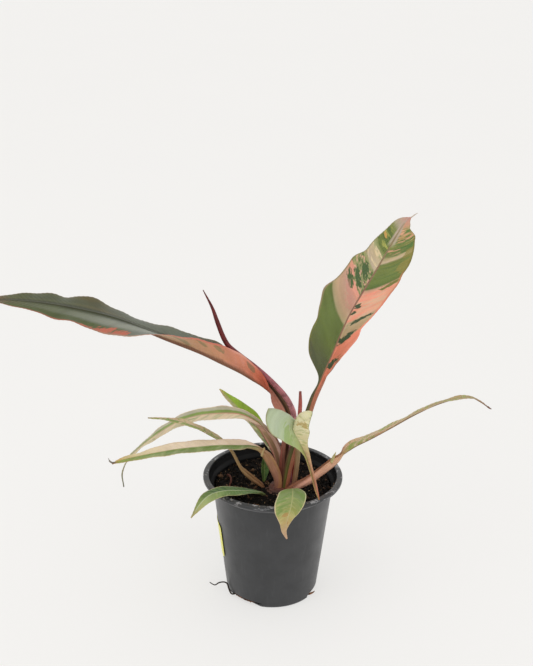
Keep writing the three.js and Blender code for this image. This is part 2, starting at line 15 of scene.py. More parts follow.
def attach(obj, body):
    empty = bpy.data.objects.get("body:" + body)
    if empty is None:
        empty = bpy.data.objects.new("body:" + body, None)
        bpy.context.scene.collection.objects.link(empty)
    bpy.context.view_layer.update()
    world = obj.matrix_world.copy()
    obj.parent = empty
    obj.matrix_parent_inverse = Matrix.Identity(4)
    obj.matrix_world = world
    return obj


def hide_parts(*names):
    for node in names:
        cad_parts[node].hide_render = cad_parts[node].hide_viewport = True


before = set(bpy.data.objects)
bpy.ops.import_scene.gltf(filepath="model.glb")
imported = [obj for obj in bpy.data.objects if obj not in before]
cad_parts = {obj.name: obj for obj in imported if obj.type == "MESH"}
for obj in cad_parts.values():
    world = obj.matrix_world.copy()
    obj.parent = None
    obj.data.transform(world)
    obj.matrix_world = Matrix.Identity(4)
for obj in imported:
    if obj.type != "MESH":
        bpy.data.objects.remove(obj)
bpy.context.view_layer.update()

MM = 0.001
SEED = 7
NO_BLADE = 99

# Camera and its lens, whose focal length is on the 36 mm long side
CAMERA_PLACE = (-0.0067, -0.9521, 0.6288)
CAMERA_DOWN_DEG = 22.15
CAMERA_ROLL_DEG = 0.6
CAMERA_LENS = 67.57

# Pot
POT_HEIGHT = 110.5
RIM_RADIUS = 60
LIP_INNER_RADIUS = 54.8
LIP_BAND = 3.2
LIP_ROUND = 1.1
COLLAR_DROP = 7
SHOULDER_DROP = 9
BODY_TOP_RADIUS = 51.6
BASE_RADIUS = 39.4
CORNER = 2.4
WALL = 1.2
POT_SIDES = 192

# Drainage notches between the three feet
NOTCH_BEARINGS = [111, 231, 351]
NOTCH_WIDTH = 39
NOTCH_HEIGHT = 5
NOTCH_SQUARE = 0.45
NOTCH_DEPTH = 5
NOTCH_ROOTS = 22
NOTCH_CRUMBS = 340

# Soil and crown
SOIL_LEVEL = 100
SOIL_BUMP = 1.3
GAP = 0.35
PEAT_COUNT = 3000
BARK_COUNT = 100
FLECK_COUNT = 300
RIM_COUNT = 90
LIP_COUNT = 40
CROWN = {"x": 8, "y": -7, "z": 97, "along": 14, "across": 13, "up": 7.5}

# Sticker, whose front edge has begun to lift: how far, from which share of its width, and over how much
STICKER = {"from": 160, "to": 203, "low": 36, "high": 69, "thick": 0.18, "corner": 4.0}
STICKER_LIFT = 0.35
LIFT_FROM = 0.93
LIFT_SPAN = 0.07

# Leaf sections
BLADE_THICK = 0.5
MARGIN_THICK = 0.18
RIB_TOP_SHARE = 0.25
STATION_SPACING = 0.9
LEAST_HALF_WIDTH = 0.16
HALF_POINTS = 18
QUILT = 0.1

# Which value of a bump is its extra width, and which the lift of its margin
WIDER = 2
LIFTED = 3

# Lateral veins lean towards the tip: this much along for each millimetre out, and more towards the margin
VEIN_LEAN = 0.55
VEIN_BEND = 0.018
VEIN_SPACING = 4.2
FINE_VEINS = 3

# Each leaf is one piece from its foot in the soil to its tip. The lists hold one value for each path point:
# left and right are half-widths, fold is how far each half rises in degrees, curl bends it further in
# towards the margin, roll turns the whole section, and rib is the thickness at the midrib or petiole. Each
# bump is a side (1 left, -1 right), a place along the path, how much wider the blade is there, how far its
# margin is lifted, and over how much of the path.
LEAVES = {
    "leaf_arching_large": dict(
        bearing=180,
        path=[
            [7, -2, 94], [8.5, -2.5, 108], [9.5, -3, 126], [11, -4, 144], [12.5, -5, 160],
            [10.5, -6, 173.5], [3.5, -6, 186], [-6, -6, 197], [-16.5, -6, 204.5], [-27, -6, 211],
            [-44, -6, 219.5], [-61, -6, 227.5], [-90, -6, 239], [-126, -6, 254], [-158, -6, 262.5],
            [-190, -6, 268], [-223, -6, 270], [-233, -6, 266],
        ],
        left=[3.4, 3.6, 4, 5, 7, 8.4, 8.2, 8.5, 10, 13, 16, 20, 23, 23.5, 22, 16, 6.5, 0.6],
        right=[3, 2.8, 2.6, 2.8, 3, 3.4, 4, 5.5, 7.5, 9.5, 12, 16.5, 20.5, 21, 21, 17, 7.5, 0.6],
        fold=[20, 18, 15, 12, 10, 10, 14, 45, 66, 72, 60, 34, 17, -1, -4, 0, 2, 0],
        curl=[0, 0, 0, 0, 0, 0, 5, 22, 24, 22, 18, 5, 0, 0, 0, 0, 0, 0],
        roll=[-20, -30, -45, -60, -72, -74, -60, -25, -4, 2, 8, 15, 12, 0, -8, -6, -6, -6],
        rib=[6, 5.9, 5.8, 5.8, 5.8, 5.6, 5.4, 5.2, 4.8, 4.4, 4.1, 3.8, 3.4, 2.7, 2.1, 1.6, 1.1, 0.9],
        bumps=[
            [1, 13, 0, -4.5, 0.55], [1, 14.1, 0, 1.5, 0.3], [1, 14.7, 0.5, -1.2, 0.3],
            [-1, 12.6, -1, -2.5, 0.35], [-1, 13.85, 1, 3.2, 0.32], [-1, 14.45, -1, -1.6, 0.2],
            [-1, 14.95, 0.5, 0.6, 0.25],
        ],
    ),
    "leaf_upright": dict(
        bearing=45,
        path=[
            [9.5, -11.5, 94], [11.3, -12, 108], [13.6, -11.5, 123], [17, -10, 137.5], [21.5, -6.5, 149],
            [27.5, 0.5, 161], [34, 12, 177], [41, 20, 191], [48, 26, 206], [56, 32, 225], [64, 41, 241],
            [75, 51, 258], [86, 60, 274], [96, 69, 289], [105, 78, 302], [112, 85, 311], [117, 88, 315],
        ],
        left=[2.6, 3.2, 4, 4.3, 3.9, 3.5, 3.1, 3.4, 20.5, 25.5, 27.5, 27, 24.5, 18.5, 13.5, 9, 0.6],
        right=[2.6, 3, 3.4, 3.6, 3.6, 3.3, 2.9, 3, 13, 22.5, 24.5, 24.5, 26.2, 25.4, 18.6, 6.5, 0.6],
        fold=[20, 25, 28, 28, 25, 20, 15, 18, 30, 28, 22, 11, 7, 3, 2, 2, 0],
        curl=[0],
        roll=[20, 30, 38, 38, 32, 20, 8, 4, 5, 9, 11, 14, 11, 9, 6, 3, 0],
        rib=[4.8, 4.8, 4.8, 4.8, 4.8, 4.8, 4.8, 4.6, 4.2, 3.6, 3.2, 2.8, 2.4, 2, 1.6, 1.2, 0.9],
        bumps=[
            [1, 9.4, -1.6, -1, 0.35], [1, 10.5, 2.6, 2, 0.4], [1, 11.4, 0, -1.5, 0.35],
            [1, 12.2, 0.6, 1.5, 0.3], [1, 12.7, -1.2, 0, 0.25], [-1, 9.15, 0.8, 0, 0.15],
            [-1, 9.55, -2, -1, 0.18], [-1, 11.6, 0.6, 1, 0.3], [-1, 12.35, -1.8, -1.5, 0.25],
            [-1, 14.2, 1.6, 1.5, 0.16], [-1, 14.65, -2.4, -1, 0.2],
        ],
    ),
    "leaf_folded_front": dict(
        bearing=296,
        path=[
            [16.5, -12.5, 94], [18, -13, 108], [19.5, -14, 123], [20.5, -14, 138], [20, -17, 156],
            [19.5, -21.5, 170.5], [17.5, -30, 173.5], [15.5, -39, 172], [18.8, -46, 168],
            [22, -50, 163.5], [26, -54, 156], [30, -58, 144.5], [33.3, -60.5, 133], [37.4, -62, 120.8],
        ],
        left=[1.9, 1.9, 1.9, 1.9, 2.1, 4, 17.5, 19, 13.5, 7, 4, 3.1, 2.3, 0.6],
        right=[1.9, 1.9, 1.9, 1.9, 2.1, 7, 25, 26.5, 19.5, 11, 4.8, 3.3, 2.3, 0.6],
        fold=[10, 10, 10, 10, 10, 20, 34, 32, 33, 44, 55, 58, 50, 30],
        curl=[0, 0, 0, 0, 0, -25, -46, -36, -14, 0, 0, 0, 0, 0],
        roll=[0, 0, 0, 0, 0, 0, 8, 14, 12, 6, 0, 0, 0, 0],
        rib=[4, 4, 4, 4, 4, 3.8, 3.2, 2.8, 2.4, 2.1, 1.8, 1.5, 1.2, 0.9],
        bumps=[
            [1, 6.1, 4.2, -1.5, 0.33], [1, 6.65, -1.5, -2, 0.25], [1, 7.25, 1, 1.5, 0.25],
            [1, 7.85, -1, -1.2, 0.3], [1, 8.4, 0.6, 0.8, 0.35], [-1, 6.5, 0, 1.5, 0.35],
            [-1, 7.3, 0, -1.2, 0.3], [-1, 8, 0.5, 1, 0.3],
        ],
    ),
    "leaf_reaching_right": dict(
        bearing=5,
        path=[
            [9.5, -16.5, 94], [11.5, -18.3, 102.8], [20, -19.2, 109.4], [30, -17.2, 114],
            [40, -13, 119.6], [48.5, -9.5, 125], [54, -6.8, 128.7], [58, -5, 133], [61, -4.3, 135.4],
            [64.5, -3.5, 137.6], [71, -2.3, 141.2], [82.2, -1, 146.5], [99, 1, 155.7], [116, 2.5, 165.7],
            [133.8, 4, 174.8], [150, 5.5, 180], [166, 7, 181.7], [175, 8, 177.3], [184, 9, 170.4],
        ],
        left=[2.8, 3, 3.4, 3.6, 3.6, 3.8, 3.4, 1.6, 4, 5.5, 7, 8.5, 7.5, 6, 6, 6.5, 6, 4.5, 0.6],
        right=[2.8, 3, 3.4, 3.6, 3.6, 3.8, 3.4, 1.6, 4.2, 6, 8.5, 10, 9, 7.5, 7, 7.5, 6.5, 4.5, 0.6],
        fold=[15, 25, 45, 60, 65, 65, 50, 20, 40, 40, 30, 16, 10, 8, 6, 4, 4, 4, 4],
        curl=[0, 0, 8, 15, 15, 15, 8, 0, 8, 10, 6, 0, 0, 0, 0, 0, 0, 0, 0],
        roll=[0, 0, 0, 0, 0, 0, 0, 0, -8, -14, -20, -20, -20, -20, -18, -16, -12, -8, -4],
        rib=[5, 5, 4.8, 4.6, 4.4, 4.2, 4, 3.2, 3, 2.9, 2.7, 2.5, 2.3, 2, 1.8, 1.5, 1.2, 1, 0.9],
    ),
    "leaf_low_left": dict(
        bearing=192,
        path=[
            [2.5, -10, 94], [5.4, -10, 103], [4.5, -10, 112], [0.8, -10.2, 121.5], [-4.5, -11, 131.8],
            [-10.8, -12, 140.2], [-19, -12.5, 143], [-28, -14, 144], [-45, -18, 146], [-61, -21, 146],
            [-78, -25, 146], [-94, -28, 144.5], [-110, -32, 143], [-127, -35, 140], [-133, -37, 138],
        ],
        left=[2.9, 3, 4, 4.8, 4.8, 2.6, 5.5, 8, 9, 9, 9, 8, 6, 3, 0.6],
        right=[2.9, 3, 4, 4.8, 4.8, 2.6, 5.5, 8, 9, 9, 9, 8, 6, 3, 0.6],
        fold=[15, 25, 42, 52, 50, 20, 16, 12, 8, 8, 10, 8, 2, 0, 0],
        curl=[0],
        roll=[0, 0, 0, 0, 0, 0, 0, -4, -4, -5, -7, -4, -3, -3, 0],
        rib=[5.4, 5.4, 5, 4.8, 4.4, 3.6, 3.2, 2.8, 2.4, 2.1, 1.8, 1.6, 1.3, 1.1, 0.9],
    ),
    "leaf_arching_left": dict(
        bearing=170,
        path=[
            [8, 5, 94], [8.6, 5.5, 106], [6.5, 5.5, 118], [2, 5, 131], [-4, 4.3, 143], [-11, 2.5, 154.5],
            [-20, 0.5, 162.3], [-30, 0, 166.5], [-45, 2, 166], [-63, 6, 162], [-80, 9, 155],
            [-97, 12, 143], [-115, 15, 127], [-127, 17, 113], [-132, 17, 100], [-131, 16, 87],
        ],
        left=[2.7, 3, 4.6, 6.5, 7, 4.5, 6.5, 8, 10, 10, 10, 8, 5, 3, 1.6, 0.6],
        right=[2.7, 3, 4, 5.5, 6, 4, 6, 8, 10, 10, 10, 8, 5, 3, 1.6, 0.6],
        fold=[15, 20, 42, 55, 58, 38, 16, 10, 8, 6, 4, 4, 4, 4, 0, 0],
        curl=[0],
        roll=[0, 0, 0, 0, 0, 0, -3, -8, -9, -9, -10, -12, -10, -8, 0, 0],
        rib=[5, 5, 4.8, 4.6, 4.4, 3.8, 3.2, 2.8, 2.4, 2, 1.8, 1.6, 1.4, 1.2, 1, 0.9],
    ),
    "leaf_back_green": dict(
        bearing=145,
        path=[
            [13.5, 9, 94], [11.5, 11, 106], [5, 14, 119], [-3, 15.5, 130], [-12, 18, 141], [-20, 23, 150],
            [-29, 27, 158], [-38, 31, 166], [-47, 35, 174],
        ],
        left=[1.8, 2, 4, 7, 8.5, 9, 8, 5, 0.6],
        right=[1.8, 2, 3, 5, 8, 9, 8, 5, 0.6],
        fold=[15, 15, 20, 25, 25, 25, 20, 15, 10],
        curl=[0],
        roll=[0],
        rib=[3.4, 3.4, 3, 2.6, 2.2, 1.8, 1.5, 1.2, 0.9],
    ),
    "leaf_thin_left": dict(
        bearing=184,
        path=[
            [-4, -4, 94], [-9, -5, 102], [-17, -5, 108], [-23.5, -5, 114], [-28, -5, 120.5],
            [-32.5, -4.5, 130], [-37, -4, 137], [-44, -3.8, 143.5], [-53, -6.5, 150.5], [-63, -10, 158],
            [-74, -11, 163], [-87, -12, 167], [-97, -12, 168], [-105, -12, 168.5],
        ],
        left=[1.8, 2, 2.8, 2.6, 1.5, 1.5, 1.5, 3, 4.5, 5, 5, 4, 2, 0.6],
        right=[1.8, 2, 2.8, 2.6, 1.5, 1.5, 1.5, 3, 4.5, 5, 5, 4, 2, 0.6],
        fold=[20, 30, 45, 45, 20, 20, 20, 20, 20, 15, 10, 5, 0, 0],
        curl=[0],
        roll=[0],
        rib=[3.4, 3.4, 3, 2.8, 2.6, 2.4, 2.2, 2, 1.8, 1.6, 1.4, 1.2, 1, 0.9],
    ),
    "leaf_small_left": dict(
        bearing=209,
        path=[
            [-4, -17, 95], [-8, -20, 102], [-16.5, -25, 106.5], [-25.5, -30.5, 110], [-37, -35.5, 113],
            [-47, -41, 114.3], [-54.5, -45.5, 112.5], [-61, -49.5, 106.5], [-67.5, -53, 97],
        ],
        left=[1.4, 1.5, 3.8, 5.8, 6.8, 7.2, 6.8, 4, 0.6],
        right=[1.4, 1.5, 3.8, 5.8, 6.8, 7.2, 6.8, 4, 0.6],
        fold=[20, 15, 8, 4, 0, -3, -5, -4, 0],
        curl=[0],
        roll=[0, 0, -5, -7, -7, -7, -9, -6, 0],
        rib=[2.6, 2.6, 2.2, 1.9, 1.7, 1.5, 1.3, 1.1, 0.9],
    ),
    "leaf_small_front": dict(
        bearing=275,
        path=[
            [12, -24, 95], [13, -27, 103], [14.5, -31, 110.5], [16, -37, 116], [16.3, -46, 117.3],
            [15.7, -55, 115.3], [14.3, -62, 111.5], [12.5, -66.5, 107.3], [11, -69, 102], [9.8, -70, 96],
            [11.7, -70, 88.5],
        ],
        left=[1.3, 1.3, 1.3, 2.5, 10.5, 11, 8.5, 5, 2.6, 1.6, 0.6],
        right=[1.3, 1.3, 1.3, 2.5, 10.5, 12.5, 13.5, 12, 6.5, 2.8, 0.6],
        fold=[10, 10, 10, 10, 8, 8, 10, 14, 20, 20, 10],
        curl=[0],
        roll=[0],
        rib=[2.4, 2.4, 2.4, 2.2, 1.9, 1.7, 1.5, 1.3, 1.2, 1, 0.9],
    ),
    "leaf_tiny_back": dict(
        bearing=115,
        path=[[-7.5, 5.5, 95], [-7.5, 6, 101], [-7.5, 7, 110], [-7, 9, 119], [-5.5, 12, 126]],
        left=[1.3, 1.6, 4, 3.6, 0.6],
        right=[1.3, 1.6, 4, 3.6, 0.6],
        fold=[20, 25, 30, 30, 20],
        curl=[0],
        roll=[0],
        rib=[2.4, 2.2, 1.8, 1.4, 0.9],
    ),
}

# Round pieces: a path with a radius at each of its points.
STEMS = {
    "new_leaf_spear": dict(
        path=[
            [14, 0, 94], [14.3, -0.5, 108], [14.6, -2, 126], [15.5, -4.6, 144], [17.2, -8.8, 160.5],
            [16.6, -10, 173], [13, -10, 182.5], [8.3, -9.5, 189.8], [2, -9, 197], [-6, -7, 204.5],
            [-17, -6, 214], [-28, -6, 223], [-36, -6, 230], [-39.7, -6.5, 235], [-43, -7, 242.5],
            [-47, -8, 254.5], [-51, -9, 267], [-58, -10, 282],
        ],
        radius=[2.1, 2.1, 1.9, 1.7, 1.8, 2.3, 2.3, 2.3, 2.3, 2.3, 2.3, 2.2, 2.1, 2.1, 2, 1.8, 1.2, 0.35],
    ),
    "red_cataphyll": dict(
        path=[
            [17.5, 4, 94], [18, 4, 112], [19.5, 4.5, 130], [21, 6, 145], [22, 7, 160], [22.6, 8, 173],
            [22.4, 9, 184.5],
        ],
        radius=[1.7, 1.8, 1.8, 1.8, 1.8, 1.7, 1.1],
    ),
    "root_wisp": dict(
        path=[
            [-29, -19.6, 3], [-32, -21.6, 2.6], [-35.2, -22, 3], [-37.4, -18.4, 5.5], [-38.9, -15.4, 8.6],
            [-41.6, -14.9, 10], [-46, -15, 9.5], [-50, -15, 7], [-54.5, -14, 9],
        ],
        radius=[0.7, 0.7, 0.7, 0.7, 0.7, 0.6, 0.6, 0.5, 0.4],
    ),
    "soil_twig": dict(
        path=[
            [-40, 16, 98.2], [-39.5, 14, 101.5], [-37, 8, 103], [-36, 1, 102.5], [-37, -3, 101],
            [-38, -5, 98.2],
        ],
        radius=[0.6, 0.7, 0.8, 0.8, 0.7, 0.6],
    ),
}

# Teeth at the tops of two sheaths and thin ends of leaves: a material slot, a dark and a light colour, a
# path and a radius at each of its points.
TEETH = {
    "reaching_right_tooth": dict(
        slot="leaf_tan",
        colours=(0xA89A62, 0xC9C08A),
        path=[[49.6, -9.6, 127.6], [51.2, -9.6, 132], [53.2, -9.6, 137]],
        radius=[2.6, 2.2, 0.4],
    ),
    "reaching_right_thread": dict(
        slot="leaf_tan",
        colours=(0x5A3A2E, 0x7A4A3A),
        path=[[181.8, 8.2, 172.4], [183.6, 8.8, 170.8], [185.4, 9.4, 169.6]],
        radius=[0.8, 0.6, 0.3],
    ),
    "low_left_tooth": dict(
        slot="leaf_tan",
        colours=(0xA08858, 0xC9B184),
        path=[[-9.4, -12.8, 134.6], [-8.6, -12.6, 139], [-7.2, -12.4, 142]],
        radius=[2.4, 2.0, 0.4],
    ),
    "low_left_hook": dict(
        slot="leaf_tan",
        colours=(0x6A6258, 0x8A8074),
        path=[[-130.5, -36.3, 139.2], [-133, -37, 139.2], [-135, -37.4, 141], [-135.8, -37.6, 143.6]],
        radius=[0.8, 0.8, 0.7, 0.4],
    ),
    "upright_filament": dict(
        slot="leaf_marbled_pink",
        colours=(0xB09A86, 0xC8B4A0),
        path=[[115.4, 87, 313.6], [118.6, 88.3, 315.6], [121, 88.7, 317.4], [123, 89, 318.5]],
        radius=[0.7, 0.5, 0.35, 0.2],
    ),
}

# Tones of soil, from the darkest grains to the lightest
PEAT_TONES = [(0, 0x0A0806), (0.55, 0x120E0B), (0.82, 0x231B15), (1, 0x4E3C2E)]
BARK_TONES = [(0, 0x18110D), (0.5, 0x32241A), (0.8, 0x5A4230), (1, 0x8A6A4C)]
PALE_TONES = [(0, 0x3A2A1E), (0.5, 0x6A5038), (0.85, 0x9A8060), (1, 0xC8B896)]
SANDY_TONES = [(0, 0x4A3020), (0.5, 0x9A8064), (1, 0xD0C4B0)]


def linear(hex_colour):
    """A colour such as 0x6f7a5c as the linear red, green, blue and alpha that nodes take."""
    parts = [((hex_colour >> shift) & 255) / 255 for shift in (16, 8, 0)]
    return tuple(c / 12.92 if c <= 0.04045 else ((c + 0.055) / 1.055) ** 2.4 for c in parts) + (1.0,)


def along(values, places, path_length):
    """Values of a list at places counted in path points, on a smooth curve through the list's values."""
    rows = np.asarray(values, float)
    if rows.ndim == 1:
        rows = rows[:, None]
    if len(rows) == 1:
        return np.repeat(rows, len(places), 0)
    spots = np.clip(np.asarray(places) * (len(rows) - 1) / (path_length - 1), 0, len(rows) - 1)
    low = np.minimum(spots.astype(int), len(rows) - 2)
    t = (spots - low)[:, None]
    p1 = rows[low]
    p2 = rows[low + 1]
    p0 = np.where((low > 0)[:, None], rows[np.maximum(low - 1, 0)], 2 * p1 - p2)
    p3 = np.where((low + 2 < len(rows))[:, None], rows[np.minimum(low + 2, len(rows) - 1)], 2 * p2 - p1)
    bend = (2 * p0 - 5 * p1 + 4 * p2 - p3) * t**2 + (-p0 + 3 * p1 - 3 * p2 + p3) * t**3
    return 0.5 * (2 * p1 + (p2 - p0) * t + bend)


def unit(rows):
    return rows / np.linalg.norm(rows, axis=-1, keepdims=True)


def stations(path, spacing):
    """Places along a path an even distance apart, and that distance from its start in millimetres."""
    fine = np.linspace(0, len(path) - 1, 60 * (len(path) - 1) + 1)
    points = along(path, fine, len(path))
    steps = np.linalg.norm(np.diff(points, axis=0), axis=1)
    length = np.concatenate([[0], np.cumsum(steps)])
    distance = np.linspace(0, length[-1], max(int(length[-1] / spacing), 8) + 1)
    return np.interp(distance, length, fine), distance


def directions(path, places):
    step = 0.05
    return unit(along(path, places + step, len(path)) - along(path, places - step, len(path)))


def smooth_step(values, low, high):
    t = np.clip((values - low) / (high - low), 0, 1)
    return t * t * (3 - 2 * t)


def mesh_object(name, points, faces):
    """A mesh object from points in metres."""
    mesh = bpy.data.meshes.new(name)
    mesh.from_pydata([tuple(p) for p in points], [], faces)
    mesh.update()
    mesh.shade_smooth()
    made = bpy.data.objects.new(name, mesh)
    bpy.context.scene.collection.objects.link(made)
    return made


def ring_faces(rows, sides, first=0):
    """Quads between rings of points that follow each other, the first ring's points starting at first."""
    faces = []
    for low in range(first, first + (rows - 1) * sides, sides):
        for side in range(sides):
            after = (side + 1) % sides
            faces.append((low + side, low + after, low + sides + after, low + sides + side))
    return faces


def add_map(mesh, name, values):
    """A UV map from one pair of values for each point."""
    corner = np.zeros(len(mesh.loops), int)
    mesh.loops.foreach_get("vertex_index", corner)
    layer = mesh.uv_layers.new(name=name)
    layer.data.foreach_set("uv", values[corner].astype(np.float32).ravel())


def leaf_frames(leaf, places):
    """Centres, sideways directions and upward directions of a leaf's sections."""
    count = len(leaf["path"])
    centre = along(leaf["path"], places, count)
    forward = directions(leaf["path"], places)
    bearing = math.radians(leaf["bearing"])
    level = np.array([-math.sin(bearing), math.cos(bearing), 0.0])
    sideways = unit(level - forward * (forward @ level)[:, None])
    up = np.cross(forward, sideways)
    roll = np.radians(along(leaf["roll"], places, count))
    rolled = sideways * np.cos(roll) + up * np.sin(roll)
    return centre, rolled, up * np.cos(roll) - sideways * np.sin(roll)


def half_shares(width, rib):
    """Shares of the half-width at which points lie: closer at a petiole's edge, and at a blade's rib."""
    steps = np.linspace(0, 1, HALF_POINTS + 1)
    flatness = smooth_step(width / (rib / 2), 1.0, 3.0)
    return (1 - flatness) * np.sin(math.pi / 2 * steps) + flatness * steps**1.35


def bumped(leaf, side, places, kind):
    """What the bumps of one side add at each place, where kind is WIDER or LIFTED."""
    total = np.zeros((len(places), 1))
    for bump in leaf.get("bumps", []):
        if bump[0] == side:
            total[:, 0] += bump[kind] * np.exp(-(((places - bump[1]) / bump[4]) ** 2))
    return total


def ruffle(leaf, side, places, distance):
    """How far the margin is lifted, in millimetres: the leaf's own waves, and small uneven ones."""
    phase = 1.7 * side + 0.13 * len(leaf["path"])
    small = 0.35 * np.sin(distance / 5.1 + phase) + 0.25 * np.sin(distance / 3.2 + 2 * phase)
    return bumped(leaf, side, places, LIFTED) + small[:, None]


def leaf_half(leaf, side, places, distance):
    """Points, facing directions, thicknesses and shares of one half, each from the midrib out."""
    count = len(leaf["path"])
    centre, sideways, up = leaf_frames(leaf, places)
    width = along(leaf["left" if side > 0 else "right"], places, count) + bumped(leaf, side, places, WIDER)
    width = np.maximum(width, LEAST_HALF_WIDTH)
    rib = along(leaf["rib"], places, count)
    fold = along(leaf["fold"], places, count)
    curl = along(leaf["curl"], places, count)
    shares = half_shares(width, rib)
    middle = (shares[:, 1:] + shares[:, :-1]) / 2
    angle = np.radians(fold + curl * (2 * middle - 1))
    step = width * np.diff(shares, axis=1)
    start = np.zeros((len(places), 1))
    out = np.hstack([start, np.cumsum(np.cos(angle) * step, axis=1)])
    flat = smooth_step(width / (rib / 2), 1.5, 4.0)
    lift = np.hstack([start, np.cumsum(np.sin(angle) * step, axis=1)])
    lift = lift + flat * ruffle(leaf, side, places, distance) * shares**2
    ramp = np.interp(shares, [0, 0.15, 0.55, 1], [0, 0.5, 1, 1])
    tilt = np.radians(fold + curl * (2 * shares - 1)) * ramp
    point = centre[:, None] + side * out[..., None] * sideways[:, None] + lift[..., None] * up[:, None]
    facing = np.cos(tilt)[..., None] * up[:, None] - side * np.sin(tilt)[..., None] * sideways[:, None]
    reach = shares * width
    quilt = QUILT * flat * vein_quilt(distance[:, None], reach) * smooth_step(shares, 0.03, 0.2)
    point = point + quilt[..., None] * facing
    rib_share = np.minimum(reach / np.minimum(width, rib / 2), 1)
    blade = BLADE_THICK + (MARGIN_THICK - BLADE_THICK) * smooth_step(shares, 0.5, 1)
    blade = np.minimum(blade, rib)
    thick = blade + (rib - blade) * np.sqrt(1 - rib_share**2)
    return point, facing, thick, blade, shares, reach


def vein_quilt(distance, reach):
    """Low swellings between the lateral veins, from -1 to 1."""
    vein = distance - VEIN_LEAN * reach - VEIN_BEND * reach**2
    return np.cos(2 * math.pi * vein / VEIN_SPACING)


def leaf_mesh(name, leaf):
    """The leaf as one closed mesh, with its upper side in slot 0 and its underside in slot 1.

    Map "leaf" holds the place along the path and the share across, from 1 at the left margin to -1 at the
    right one. Map "size" holds the distances along and across, in centimetres.
    """
    places, distance = stations(leaf["path"], STATION_SPACING)
    left = leaf_half(leaf, 1, places, distance)
    right = leaf_half(leaf, -1, places, distance)
    joined = [np.concatenate([a[:, :0:-1], b], axis=1) for a, b in zip(left, right)]
    point, facing, thick, blade, shares, reach = joined
    signs = np.concatenate([np.ones(HALF_POINTS), [0], -np.ones(HALF_POINTS)])
    fold = np.radians(along(leaf["fold"], places, len(leaf["path"])))
    top_share = RIB_TOP_SHARE * np.cos(fold) ** 2
    top = point + facing * (blade / 2 + top_share * (thick - blade))[..., None]
    bottom = point - facing * (blade / 2 + (1 - top_share) * (thick - blade))[..., None]
    ring = np.concatenate([top, bottom[:, ::-1]], axis=1)
    across = shares * signs
    off = reach * signs
    ring_across = np.concatenate([across, across[:, ::-1]], axis=1)
    ring_off = np.concatenate([off, off[:, ::-1]], axis=1)
    rows, sides = ring.shape[:2]
    half = sides // 2
    faces = ring_faces(rows, sides)
    slots = [1 if j >= half else 0 for j in range(sides)] * (rows - 1)
    flat = [j in (half - 1, sides - 1) for j in range(sides)] * (rows - 1)
    for start, flip in ((0, True), ((rows - 1) * sides, False)):
        for j in range(half - 1):
            quad = (start + j, start + j + 1, start + sides - 2 - j, start + sides - 1 - j)
            faces.append(quad[::-1] if flip else quad)
            slots.append(0)
            flat.append(True)
    made = mesh_object(name, ring.reshape(-1, 3) * MM, faces)
    mesh = made.data
    mesh.polygons.foreach_set("material_index", slots)
    mesh.polygons.foreach_set("use_smooth", [not f for f in flat])
    add_map(mesh, "leaf", np.stack([np.repeat(places, sides), ring_across.ravel()], 1))
    add_map(mesh, "size", np.stack([np.repeat(distance, sides), ring_off.ravel()], 1) / 10)
    mesh.update()
    return made


def tube_mesh(name, path, radius, sides=20, spacing=0.8, squash=1.0):
    """A closed tube along a path in millimetres, with maps as on a leaf, the share across going round."""
    places, distance = stations(path, spacing)
    centre = along(path, places, len(path))
    forward = directions(path, places)
    level = np.where(np.abs(forward[:, 2:]) < 0.9, [[0.0, 0.0, 1.0]], [[0.0, 1.0, 0.0]])
    sideways = unit(np.cross(level, forward))
    up = np.cross(forward, sideways)
    size = along(radius, places, len(path))
    rows = len(places)
    ring = []
    for side in range(sides):
        angle = 2 * math.pi * side / sides
        ring.append(centre + size * (math.cos(angle) * squash * sideways + math.sin(angle) * up))
    points = np.stack(ring, 1)
    faces = ring_faces(rows, sides)
    faces.append(tuple(range(sides))[::-1])
    faces.append(tuple(range((rows - 1) * sides, rows * sides)))
    made = mesh_object(name, points.reshape(-1, 3) * MM, faces)
    turn = np.tile(np.abs(np.linspace(-1, 1, sides, endpoint=False)), rows)
    off = turn * np.repeat(size[:, 0], sides)
    add_map(made.data, "leaf", np.stack([np.repeat(places, sides), turn], 1))
    add_map(made.data, "size", np.stack([np.repeat(distance, sides), off], 1) / 10)
    return made


def join(pieces, name):
    """Joins mesh objects into the first one."""
    with bpy.context.temp_override(active_object=pieces[0], selected_editable_objects=pieces):
        bpy.ops.object.join()
    pieces[0].name = name
    pieces[0].data.name = name
    return pieces[0]


